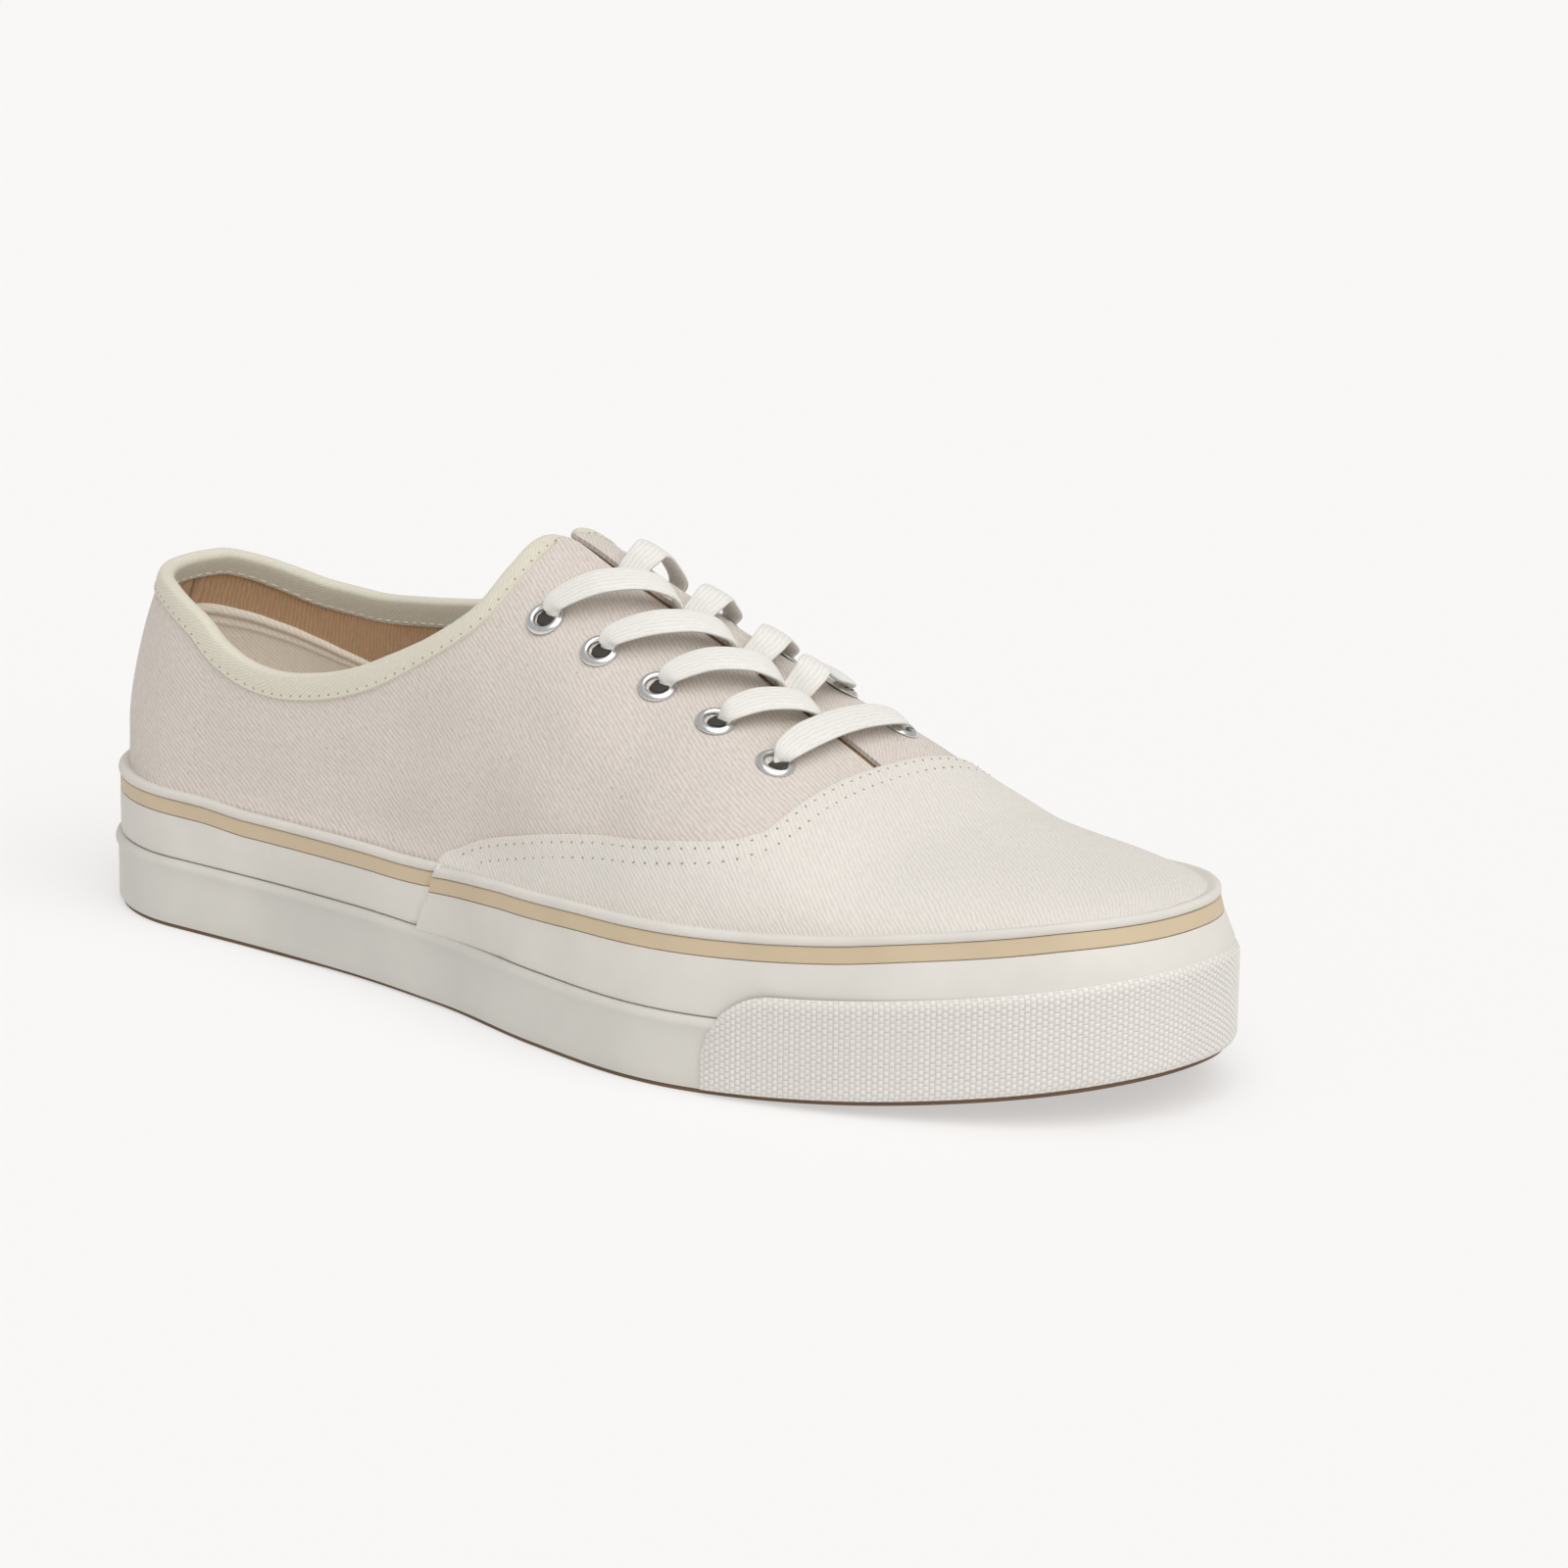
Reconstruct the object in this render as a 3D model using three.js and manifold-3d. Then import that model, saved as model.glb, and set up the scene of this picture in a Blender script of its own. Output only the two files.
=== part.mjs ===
// Low canvas lace-up sneaker, right foot, on a vulcanised rubber sole.
// Millimetres. +X runs from heel to toe, +Y to the wearer's left, which is the inner side of this
// shoe, and +Z up. The origin lies on the floor under the middle of the shoe's box.

import * as THREE from 'three';
import { mergeVertices } from 'three/addons/utils/BufferGeometryUtils.js';
import Module from 'manifold-3d';

const wasm = await Module();
wasm.setup();

// Driving dimensions of the last and the sole
const soleLength = 296; // outer length of the rubber wall, without the toe bumper
const ballWidth = 103; // across the rubber wall at the ball of the foot
const toeSpring = 9.5; // lift of the wall's lower edge at the tip
const springStart = soleLength * 0.6723; // the sole lies flat from the heel to here
const archLift = 0.5; // the waist clears the floor by this much
const heelRound = 40; // length of the round end at the heel
const toeRound = 98; // length of the round end at the toe
const instepHeight = 60; // ridge of the form over the feather line, at the instep
const featherHeight = 32; // where the canvas leaves the rubber, over the floor
const heelLean = 11.5; // how far the back of the heel leans forward at the collar
const ridgeTurn = 7; // the ridge lies this far to the inner side at the throat

// Clearance between two pieces that meet
const gap = 0.3;

// Heights and thicknesses of the rubber, over the floor
const outsoleEdge = 1.6;
const outsoleThick = 3;
const lowerWallTop = 16.5;
const stripeFoot = 26;
const stripeTop = 30;
const beadTop = 33.2;
const bumperTop = 22.5;
const bumperThick = 1.2;
const lowerWallThick = 2.4;
const lipProud = 0.5;
const beadProud = 0.8;
const stripeDepth = 0.7;
const tapeStepIn = 0.7;
const bumperStart = soleLength * 0.7162; // rear edge of the toe bumper, from the heel
const bumperCorner = 16; // round corner where its top meets its rear edge

// The end of the rubber tape laps over its start on the outer side of the waist
const lapPlace = soleLength * 0.4223;
const lapProud = 0.9;
const lapFade = 26;
const lapSlant = 0.45;

// Upper, insole, tongue and trim
const wall = 1.6; // canvas and lining together
const vampRaise = 0.8; // the vamp lies over the quarters
const insoleThick = 5;
const tongueThick = 2;
const tongueClear = 1.7;
const tongueHalfWidth = 22;
const tongueTopX = soleLength * 0.4257;
const tongueFootX = soleLength * 0.7703;
const tongueTaperX = soleLength * 0.608; // the tongue narrows from here to its foot
const throatFrontX = soleLength * 0.7264; // where the vamp's edge crosses the throat
const throatHalfGap = 2;
const throatFootHalfGap = 1.5;
const flapCorner = 5; // round corner at the top of each flap
const collarHeelHeight = 80.5; // the side curves of collar and vamp are shares of it
const bindingWidth = 5;
const bindingThick = 0.8;

// Eyelets and lace
const eyeletRows = 5;
const eyeletFirstX = soleLength * 0.473; // the row nearest the ankle
const eyeletLastX = soleLength * 0.6912;
const eyeletSide = 21.4; // from the throat's middle to an eyelet
const eyeletOuter = 4.3;
const eyeletBore = 2.3;
const eyeletBarrel = 2.75;
const eyeletFlange = 0.7;
const laceWidth = 6.4;
const laceThick = 1.2;
const laceArch = 2.6;
const laceRun = 17; // a crossing strap runs this far towards the toe

// How finely the curved pieces are divided
const alongSteps = 30;
const aroundSteps = 14;
const ringSteps = 56;
const collarPoints = 24;

const sides = [
  { name: 'outer', sign: -1 },
  { name: 'inner', sign: 1 },
];

// The sole's plan. at is a share of its length, half and swing are shares of half the ball width.
const planRows = [
  { at: 0.0, half: 0.74, swing: 0.0 },
  { at: 0.135, half: 0.74, swing: 0.0 },
  { at: 0.21, half: 0.74, swing: -0.002 },
  { at: 0.33, half: 0.725, swing: -0.046 },
  { at: 0.44, half: 0.762, swing: -0.093 },
  { at: 0.55, half: 0.876, swing: -0.13 },
  { at: 0.65, half: 0.98, swing: -0.107 },
  { at: 0.72, half: 1.0, swing: -0.05 },
  { at: 0.82, half: 1.0, swing: 0.034 },
  { at: 0.89, half: 1.0, swing: 0.093 },
  { at: 0.95, half: 1.0, swing: 0.123 },
  { at: 1.0, half: 1.0, swing: 0.15 },
];

// The upper's sections. rise is a share of the instep height, turn a share of the ridge's turn,
// side and crown are the powers of each section's curve: higher is fuller.
const formRows = [
  { at: 0.0, rise: 1.35, side: 2.6, crown: 1.85, turn: 0.0 },
  { at: 0.2, rise: 1.317, side: 2.5, crown: 1.65, turn: 0.0 },
  { at: 0.34, rise: 1.2, side: 2.3, crown: 1.75, turn: 0.43 },
  { at: 0.44, rise: 1.1, side: 2.25, crown: 2.1, turn: 0.86 },
  { at: 0.48, rise: 1.025, side: 2.2, crown: 2.2, turn: 0.93 },
  { at: 0.59, rise: 0.805, side: 2.0, crown: 2.0, turn: 1.0 },
  { at: 0.64, rise: 0.683, side: 2.2, crown: 2.4, turn: 0.86 },
  { at: 0.7, rise: 0.535, side: 2.4, crown: 2.7, turn: 0.64 },
  { at: 0.76, rise: 0.375, side: 2.4, crown: 2.6, turn: 0.43 },
  { at: 0.81, rise: 0.27, side: 2.4, crown: 2.4, turn: 0.21 },
  { at: 0.91, rise: 0.19, side: 2.4, crown: 2.3, turn: 0.0 },
  { at: 1.0, rise: 0.155, side: 2.5, crown: 2.4, turn: 0.0 },
];

// The canvas edge at the collar, from the side. at is a share of the sole's length, outer and
// inner are the edge's heights on the two sides of the foot, as shares of the heel's height.
const collarRows = [
  { at: 0.045, outer: 0.964, inner: 0.964 },
  { at: 0.074, outer: 0.958, inner: 0.893 },
  { at: 0.1, outer: 0.944, inner: 0.853 },
  { at: 0.139, outer: 0.89, inner: 0.835 },
  { at: 0.165, outer: 0.826, inner: 0.835 },
  { at: 0.196, outer: 0.782, inner: 0.846 },
  { at: 0.23, outer: 0.768, inner: 0.86 },
  { at: 0.264, outer: 0.781, inner: 0.879 },
  { at: 0.296, outer: 0.808, inner: 0.908 },
  { at: 0.326, outer: 0.849, inner: 0.942 },
  { at: 0.357, outer: 0.91, inner: 0.98 },
  { at: 0.395, outer: 0.999, inner: 1.044 },
  { at: 0.415, outer: 1.069, inner: 1.104 },
  { at: 0.424, outer: 1.16, inner: 1.172 },
  { at: 0.4275, outer: 1.23, inner: 1.23 },
  { at: 0.4285, outer: 1.34, inner: 1.34 },
];

// The vamp's rear edge from the side, from the rubber up to the throat, in the same shares.
const vampRows = [
  { at: 0.42, height: 0.2 },
  { at: 0.426, height: 0.397 },
  { at: 0.449, height: 0.452 },
  { at: 0.478, height: 0.497 },
  { at: 0.536, height: 0.553 },
  { at: 0.587, height: 0.588 },
  { at: 0.637, height: 0.61 },
  { at: 0.678, height: 0.628 },
  { at: 0.7, height: 0.637 },
  { at: 0.716, height: 0.652 },
  { at: 0.7255, height: 0.69 },
  { at: 0.7275, height: 0.9 },
];

// Value of one column at a place along the shoe, on a curve that never overshoots its rows
function column(rows, key, place) {
  const last = rows.length - 1;
  const at = Math.min(Math.max(place, rows[0].at), rows[last].at);
  let low = 0;
  while (low < last - 1 && rows[low + 1].at < at) low += 1;
  const slope = (index) => (rows[index + 1][key] - rows[index][key]) / (rows[index + 1].at - rows[index].at);
  const tangent = (index) => {
    if (index === 0) return slope(0);
    if (index === last) return slope(last - 1);
    const before = slope(index - 1);
    const after = slope(index);
    return before * after <= 0 ? 0 : (2 * before * after) / (before + after);
  };
  const span = rows[low + 1].at - rows[low].at;
  const t = (at - rows[low].at) / span;
  const ease = t * t * (3 - 2 * t);
  return (
    rows[low][key] * (1 - ease) +
    rows[low + 1][key] * ease +
    span * t * (1 - t) * (tangent(low) * (1 - t) - tangent(low + 1) * t)
  );
}

const clamp = (value) => Math.min(Math.max(value, 0), 1);

// Lift of the sole by its toe spring, and the slight arch under the waist
const springLift = (x) => toeSpring * clamp((x - springStart) / (soleLength - springStart)) ** 2;
const archShare = { start: 0.24, span: 0.26 };
function archRise(x) {
  return archLift * Math.sin(Math.PI * clamp((x / soleLength - archShare.start) / archShare.span)) ** 2;
}

// How far a layer lies inside the sole's widest outline, at its heel, sides and toe
const inset = (heel, side, toe) => ({ heel, side, toe });
const flush = (amount) => inset(amount, amount, amount);
const grow = (base, by) => inset(base.heel + by, base.side + by, base.toe + by);
const upperInset = inset(2.2, 5.2, 5.4);

// Half width and sideways swing of a layer's outline at x, measured from the heel
function outline(x, layer) {
  const at = x / soleLength;
  const half = (ballWidth / 2) * column(planRows, 'half', at) - layer.side;
  const swing = (ballWidth / 2) * column(planRows, 'swing', at);
  const back = clamp((heelRound - x) / (heelRound - layer.heel));
  const front = clamp((x - (soleLength - toeRound)) / (toeRound - layer.toe));
  const heelPower = 2;
  const toePower = 2.15;
  const round = (1 - back ** heelPower) ** (1 / heelPower) * (1 - front ** toePower) ** (1 / toePower);
  return { half: half * round, swing };
}

// Place along a layer from 0 at the heel to 1 at the toe, closer together at the round ends
function alongLayer(share, layer) {
  const first = layer.heel;
  const last = soleLength - layer.toe;
  return first + ((last - first) * (1 - Math.cos(Math.PI * share))) / 2;
}

// A point of the layer's outline. turn goes from 0 at the heel round the outer side to the toe at
// a half, and back along the inner side.
function outlinePoint(turn, layer) {
  const whole = ((turn % 1) + 1) % 1;
  const outer = whole < 0.5;
  const x = alongLayer(outer ? whole * 2 : 2 - whole * 2, layer);
  const { half, swing } = outline(x, layer);
  return [x, swing + (outer ? -half : half)];
}

// Upper form: a point at a share of its length and an angle from the outer feather line (0) over
// the ridge to the inner one (pi). out pushes the surface outwards.
function formPoint(share, angle, out) {
  const layer = grow(upperInset, -out);
  const x = alongLayer(share, layer);
  const { half, swing } = outline(x, layer);
  const at = x / soleLength;
  const side = column(formRows, 'side', at);
  const crown = column(formRows, 'crown', at);
  const toeDome = 62;
  const domePower = 2.15;
  const front = clamp((x - (soleLength - toeDome)) / (toeDome - layer.toe));
  const rise = (instepHeight * column(formRows, 'rise', at) + out) * (1 - front ** domePower) ** 0.5;
  const across = Math.abs(Math.cos(angle)) ** (2 / side) * Math.sign(Math.cos(angle));
  const up = Math.abs(Math.sin(angle)) ** (2 / crown);
  const y = swing - half * across + ridgeTurn * column(formRows, 'turn', at) * up;
  const z = featherHeight + springLift(x) + rise * up;
  const leanStart = 9;
  const leanSpan = 40;
  const leanReach = 100;
  const leanLimit = 1.4;
  const height = Math.min(Math.max((z - featherHeight - leanStart) / leanSpan, 0), leanLimit);
  const lean = heelLean * height ** 1.8 * clamp(1 - x / leanReach);
  return new THREE.Vector3(x + lean, y, z);
}

// Mesh building from rows of points that all have the same count
function patchGeometry(rows, closedRows, caps) {
  const count = rows[0].length;
  const positions = [];
  for (const row of rows) {
    for (const point of row) positions.push(point.x, point.y, point.z);
  }
  const faces = [];
  const rowCount = closedRows ? rows.length : rows.length - 1;
  for (let r = 0; r < rowCount; r += 1) {
    const next = (r + 1) % rows.length;
    for (let c = 0; c < count; c += 1) {
      const side = (c + 1) % count;
      const a = r * count + c;
      const b = r * count + side;
      const d = next * count + c;
      const e = next * count + side;
      faces.push(a, b, e, a, e, d);
    }
  }
  if (caps) {
    for (const end of [0, rows.length - 1]) {
      for (let c = 0; c < count / 2 - 1; c += 1) {
        const a = end * count + c;
        const b = a + 1;
        const d = end * count + count - 1 - c;
        const e = d - 1;
        const first = end === 0;
        if (e === b) faces.push(...(first ? [a, d, b] : [a, b, d]));
        else faces.push(...(first ? [a, e, b, a, d, e] : [a, b, e, a, e, d]));
      }
    }
  }
  const geometry = new THREE.BufferGeometry();
  geometry.setAttribute('position', new THREE.Float32BufferAttribute(positions, 3));
  geometry.setIndex(faces);
  return mergeVertices(geometry, 1e-4);
}

// Signed volume tells whether the faces point outwards
function outward(geometry) {
  const position = geometry.attributes.position;
  const index = geometry.index.array;
  const a = new THREE.Vector3();
  const b = new THREE.Vector3();
  const c = new THREE.Vector3();
  let volume = 0;
  for (let i = 0; i < index.length; i += 3) {
    a.fromBufferAttribute(position, index[i]);
    b.fromBufferAttribute(position, index[i + 1]);
    c.fromBufferAttribute(position, index[i + 2]);
    volume += a.dot(b.cross(c));
  }
  if (volume < 0) {
    for (let i = 0; i < index.length; i += 3) {
      const keep = index[i + 1];
      index[i + 1] = index[i + 2];
      index[i + 2] = keep;
    }
  }
  return geometry;
}

// Joins and cuts
function toSolid(geometry) {
  const plain = geometry.clone();
  plain.deleteAttribute('normal');
  plain.deleteAttribute('uv');
  const merged = mergeVertices(plain, 1e-4);
  return new wasm.Manifold(
    new wasm.Mesh({
      numProp: 3,
      vertProperties: new Float32Array(merged.attributes.position.array),
      triVerts: new Uint32Array(merged.index.array),
    }),
  );
}

function toGeometry(solid) {
  const mesh = solid.getMesh();
  const geometry = new THREE.BufferGeometry();
  const stride = mesh.numProp;
  const positions = [];
  for (let i = 0; i < mesh.vertProperties.length; i += stride) {
    positions.push(mesh.vertProperties[i], mesh.vertProperties[i + 1], mesh.vertProperties[i + 2]);
  }
  geometry.setAttribute('position', new THREE.Float32BufferAttribute(positions, 3));
  geometry.setIndex(Array.from(mesh.triVerts));
  return geometry;
}

const part = new THREE.Group();

function add(name, geometry, colour, roughness, metalness) {
  const material = new THREE.MeshStandardMaterial({ color: colour, roughness, metalness });
  const mesh = new THREE.Mesh(geometry, material);
  mesh.name = name;
  part.add(mesh);
  return mesh;
}

// Layer of the sole, closed all round. Corners run up its side, each with its layer and height.
function slab(corners) {
  const rows = [];
  const ends = 0.012;
  for (let i = 0; i <= alongSteps; i += 1) {
    const share = ends + ((1 - 2 * ends) * i) / alongSteps;
    const up = [];
    const down = [];
    for (const corner of corners) {
      const x = alongLayer(share, corner.layer);
      const { half, swing } = outline(x, corner.layer);
      const z = corner.z + springLift(x) + (corner.arched ? archRise(x) : 0);
      up.push(new THREE.Vector3(x, swing - half, z));
      down.unshift(new THREE.Vector3(x, swing + half, z));
    }
    rows.push([...up, ...down]);
  }
  return outward(patchGeometry(rows, false, true));
}

// Rubber band round the sole. Each corner of its section has its layer, its height and, where
// the band laps over its own start, whether it stands proud there.
function band(corners, lapTurn) {
  const rows = [];
  const edge = 0.0008;
  for (let i = 0; i < ringSteps; i += 1) {
    rows.push(bandRow(i / ringSteps, corners, false));
    if (lapTurn && i / ringSteps < lapTurn && (i + 1) / ringSteps >= lapTurn) {
      rows.push(bandRow(lapTurn - edge, corners, false));
      rows.push(bandRow(lapTurn + edge, corners, true));
    }
  }
  return outward(patchGeometry(rows, true, false));
}

function bandRow(turn, corners, atLap) {
  const [middle] = outlinePoint(turn, flush(0));
  const past = turn < 0.5 ? middle - lapPlace : -lapFade;
  const share = atLap ? 1 : past > 0 && past < lapFade ? 1 - past / lapFade : 0;
  const slanting = Math.max(0, 1 - Math.abs(past) / lapFade);
  return corners.map((corner) => {
    const layer = corner.laps ? grow(corner.layer, -share * lapProud) : corner.layer;
    const slant = corner.laps ? (slanting * lapSlant * (corner.z - stripeFoot)) / (2 * soleLength) : 0;
    const [x, y] = outlinePoint(turn + slant, layer);
    return new THREE.Vector3(x, y, corner.z + springLift(x));
  });
}

// Share of the turn at which the outline passes a place on the outer side
function turnAt(x) {
  return Math.acos(1 - (2 * x) / soleLength) / (2 * Math.PI);
}

// Outsole: the gum rubber sheet under the foot. Its edge shows below the white wall.
const coreLayer = flush(0.4 + lowerWallThick + 4 * gap);
const outsole = slab([
  { layer: flush(1), z: 0, arched: true },
  { layer: flush(1), z: outsoleEdge },
  { layer: coreLayer, z: outsoleEdge },
  { layer: coreLayer, z: outsoleThick },
]);
add('outsole', outsole, 0x9a6a3c, 0.75, 0);

// Midsole: the core that fills the rubber wall and carries the insole
const midsole = slab([
  { layer: coreLayer, z: outsoleThick + gap },
  { layer: coreLayer, z: lowerWallTop },
]);
add('midsole', midsole, 0xe9e4d8, 0.8, 0);

// Lower rubber wall, with a rounded lip on its top edge
const wallFoot = outsoleEdge + 2 * gap;
const wallOuter = flush(lipProud);
const wallInner = flush(0.4 + lowerWallThick);
const lipHeight = 2.4;
const lowerWall = band([
  { layer: wallInner, z: wallFoot },
  { layer: wallInner, z: lowerWallTop },
  { layer: flush(tapeStepIn), z: lowerWallTop },
  { layer: flush(0), z: lowerWallTop - lipHeight * 0.3 },
  { layer: flush(0), z: lowerWallTop - lipHeight * 0.7 },
  { layer: wallOuter, z: lowerWallTop - lipHeight },
  { layer: wallOuter, z: wallFoot },
]);
add('lower_wall', lowerWall, 0xeeebe4, 0.55, 0);

// Upper rubber tape, with the groove that takes the stripe, and the bead over it
const tapeOuter = flush(lipProud + tapeStepIn);
const tapeInner = grow(upperInset, -gap);
const grooveLayer = flush(lipProud + tapeStepIn + stripeDepth + gap);
const beadOuter = flush(lipProud + tapeStepIn - beadProud);
const beadHeight = beadTop - stripeTop;
const tapeFoot = lowerWallTop + gap;
const tape = band(
  [
    { layer: tapeInner, z: tapeFoot },
    { layer: tapeInner, z: beadTop },
    { layer: flush(lipProud + tapeStepIn + 0.3), z: beadTop, laps: true },
    { layer: beadOuter, z: beadTop - beadHeight * 0.35, laps: true },
    { layer: beadOuter, z: beadTop - beadHeight * 0.75, laps: true },
    { layer: tapeOuter, z: stripeTop, laps: true },
    { layer: grooveLayer, z: stripeTop, laps: true },
    { layer: grooveLayer, z: stripeFoot, laps: true },
    { layer: tapeOuter, z: stripeFoot, laps: true },
    { layer: tapeOuter, z: tapeFoot, laps: true },
  ],
  turnAt(lapPlace),
);
add('foxing_tape', tape, 0xf0ede6, 0.5, 0);

// Stripe: a thin coloured band in the tape's groove
const stripe = band(
  [
    { layer: flush(lipProud + tapeStepIn + stripeDepth), z: stripeFoot + gap, laps: true },
    { layer: flush(lipProud + tapeStepIn + stripeDepth), z: stripeTop - gap, laps: true },
    { layer: tapeOuter, z: stripeTop - gap, laps: true },
    { layer: tapeOuter, z: stripeFoot + gap, laps: true },
  ],
  turnAt(lapPlace),
);
add('stripe', stripe, 0xcdb68f, 0.5, 0);

// Toe bumper: the textured strip that laps over both rubber bands round the toe
function toeBumper() {
  const rows = [];
  const start = turnAt(bumperStart);
  const steps = 46;
  const inner = flush(-gap);
  const outer = flush(-gap - bumperThick);
  for (let i = 0; i <= steps; i += 1) {
    const turn = start + ((1 - 2 * start) * i) / steps;
    const [x] = outlinePoint(turn, flush(0));
    const past = Math.min(Math.max(x - bumperStart, 0), bumperCorner);
    const span = 1 - (1 - past / bumperCorner) ** 2;
    const low = bumperTop - bumperCorner;
    const top = low + bumperCorner * Math.sqrt(span);
    const corners = [
      { layer: inner, z: wallFoot },
      { layer: inner, z: top },
      { layer: outer, z: top - bumperThick * 0.3 },
      { layer: outer, z: wallFoot },
    ];
    rows.push(bandRow(turn, corners, false));
  }
  return outward(patchGeometry(rows, false, true));
}
add('toe_bumper', toeBumper(), 0xf1efe9, 0.8, 0);

// Insole, inside the foot of the upper
const upperFoot = lowerWallTop + gap;
const insoleLayer = grow(upperInset, wall + 2 * gap);
const insole = slab([
  { layer: insoleLayer, z: upperFoot },
  { layer: insoleLayer, z: upperFoot + insoleThick },
]);
add('insole', insole, 0xd9cdb8, 0.9, 0);

// The upper's form as a closed solid, from its foot up over the ridge
function formSolid(out, foot) {
  const rows = [];
  const ends = 0.008;
  for (let i = 0; i <= alongSteps; i += 1) {
    const share = ends + ((1 - 2 * ends) * i) / alongSteps;
    const row = [];
    for (let k = 0; k <= aroundSteps; k += 1) row.push(formPoint(share, (Math.PI * k) / aroundSteps, out));
    const outer = row[0].clone().setZ(foot + springLift(row[0].x));
    const inner = row[aroundSteps].clone().setZ(foot + springLift(row[aroundSteps].x));
    rows.push([outer, ...row, inner]);
  }
  return toSolid(outward(patchGeometry(rows, false, true)));
}

// A closed shape drawn from the side and carried across the shoe, between two sideways places
function sideCut(points, from = -ballWidth, to = ballWidth) {
  const shape = new THREE.Shape(points);
  const cut = new THREE.ExtrudeGeometry(shape, { depth: to - from, bevelEnabled: false });
  cut.rotateX(Math.PI / 2);
  cut.translate(0, to, 0);
  return toSolid(cut);
}

// A closed shape drawn from above
function topCut(points) {
  const shape = new THREE.Shape(points);
  const depth = collarHeelHeight * 2;
  return toSolid(new THREE.ExtrudeGeometry(shape, { depth, bevelEnabled: false }));
}

const sidePoints = (rows, key) =>
  rows.map((row) => new THREE.Vector2(row.at * soleLength, row[key] * collarHeelHeight));
const vampCurve = new THREE.SplineCurve(sidePoints(vampRows, 'height'));
const clearOfForm = 40;

// The collar's edge on one side of the foot, from behind the heel to the top of the flap
function collarLine(side) {
  const line = new THREE.SplineCurve(sidePoints(collarRows, side.name)).getPoints(collarPoints);
  return [new THREE.Vector2(-clearOfForm, line[0].y), ...line];
}

// Middle of the throat at x: the ridge of the form
function throatMiddle(x) {
  const at = x / soleLength;
  const swing = (ballWidth / 2) * column(planRows, 'swing', at);
  return swing + ridgeTurn * column(formRows, 'turn', at);
}

const throatTopX = collarRows[collarRows.length - 1].at * soleLength;

// A shape drawn from the side for each side of the foot, joined over the middle of the throat
function bothSides(draw) {
  const middle = throatMiddle(throatTopX);
  const outer = sideCut(draw(sides[0]), middle - ballWidth, middle + gap);
  const inner = sideCut(draw(sides[1]), middle - gap, middle + ballWidth);
  return outer.add(inner);
}

function collarCut() {
  return bothSides((side) => {
    const line = collarLine(side);
    const last = line[line.length - 1];
    const high = last.y + clearOfForm;
    return [...line, new THREE.Vector2(last.x, high), new THREE.Vector2(-clearOfForm, high)];
  });
}

function throatGapAt(x) {
  const along = clamp((x - throatTopX) / (throatFrontX - throatTopX));
  return throatHalfGap + (throatFootHalfGap - throatHalfGap) * along;
}

// The throat's slot, with a round corner at the top of each flap
function throatCut() {
  const steps = 12;
  const outer = [];
  const inner = [];
  const arc = 5;
  const cornerX = throatTopX - 1;
  for (let i = 0; i <= arc; i += 1) {
    const angle = ((Math.PI / 2) * i) / arc;
    const x = cornerX + flapCorner * (1 - Math.cos(angle));
    const side = throatGapAt(x) + flapCorner * (1 - Math.sin(angle));
    outer.push(new THREE.Vector2(x, throatMiddle(x) - side));
    inner.unshift(new THREE.Vector2(x, throatMiddle(x) + side));
  }
  const from = cornerX + flapCorner;
  for (let i = 1; i <= steps; i += 1) {
    const x = from + ((throatFrontX - from) * i) / steps;
    outer.push(new THREE.Vector2(x, throatMiddle(x) - throatGapAt(x)));
    inner.unshift(new THREE.Vector2(x, throatMiddle(x) + throatGapAt(x)));
  }
  const back = throatTopX - clearOfForm;
  return topCut([
    new THREE.Vector2(back, outer[0].y),
    ...outer,
    ...inner,
    new THREE.Vector2(back, inner[inner.length - 1].y),
  ]);
}

// Surface of the form over a place given from above, with its outward direction
function surfaceAt(x, y, out) {
  const layer = grow(upperInset, -out);
  const first = layer.heel;
  const last = soleLength - layer.toe;
  const share = Math.acos(1 - (2 * (x - first)) / (last - first)) / Math.PI;
  let low = 0.02;
  let high = Math.PI - 0.02;
  const halvings = 30;
  for (let i = 0; i < halvings; i += 1) {
    const middle = (low + high) / 2;
    if (formPoint(share, middle, out).y < y) low = middle;
    else high = middle;
  }
  const angle = (low + high) / 2;
  return { share, angle, point: formPoint(share, angle, out), normal: formNormal(share, angle, out) };
}

function formNormal(share, angle, out) {
  const step = 0.002;
  const along = formPoint(share + step, angle, out).sub(formPoint(share - step, angle, out));
  const around = formPoint(share, angle + step, out).sub(formPoint(share, angle - step, out));
  return along.cross(around).normalize();
}

// Upper: one hollow canvas wall, the vamp standing proud of the quarters, open at the collar, the
// throat and underneath, with a hole for each eyelet
function eyeletPlaces() {
  const places = [];
  for (let row = 0; row < eyeletRows; row += 1) {
    const x = eyeletFirstX + ((eyeletLastX - eyeletFirstX) * row) / (eyeletRows - 1);
    for (const side of sides) {
      const y = throatMiddle(x) + side.sign * eyeletSide;
      places.push({ name: `eyelet_${side.name}_${row + 1}`, row, side, x, y });
    }
  }
  return places;
}

function standOn(geometry, place, out) {
  const { point, normal } = surfaceAt(place.x, place.y, out);
  const turn = new THREE.Quaternion().setFromUnitVectors(new THREE.Vector3(0, 0, 1), normal);
  geometry.applyQuaternion(turn);
  geometry.translate(point.x, point.y, point.z);
  return geometry;
}

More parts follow.
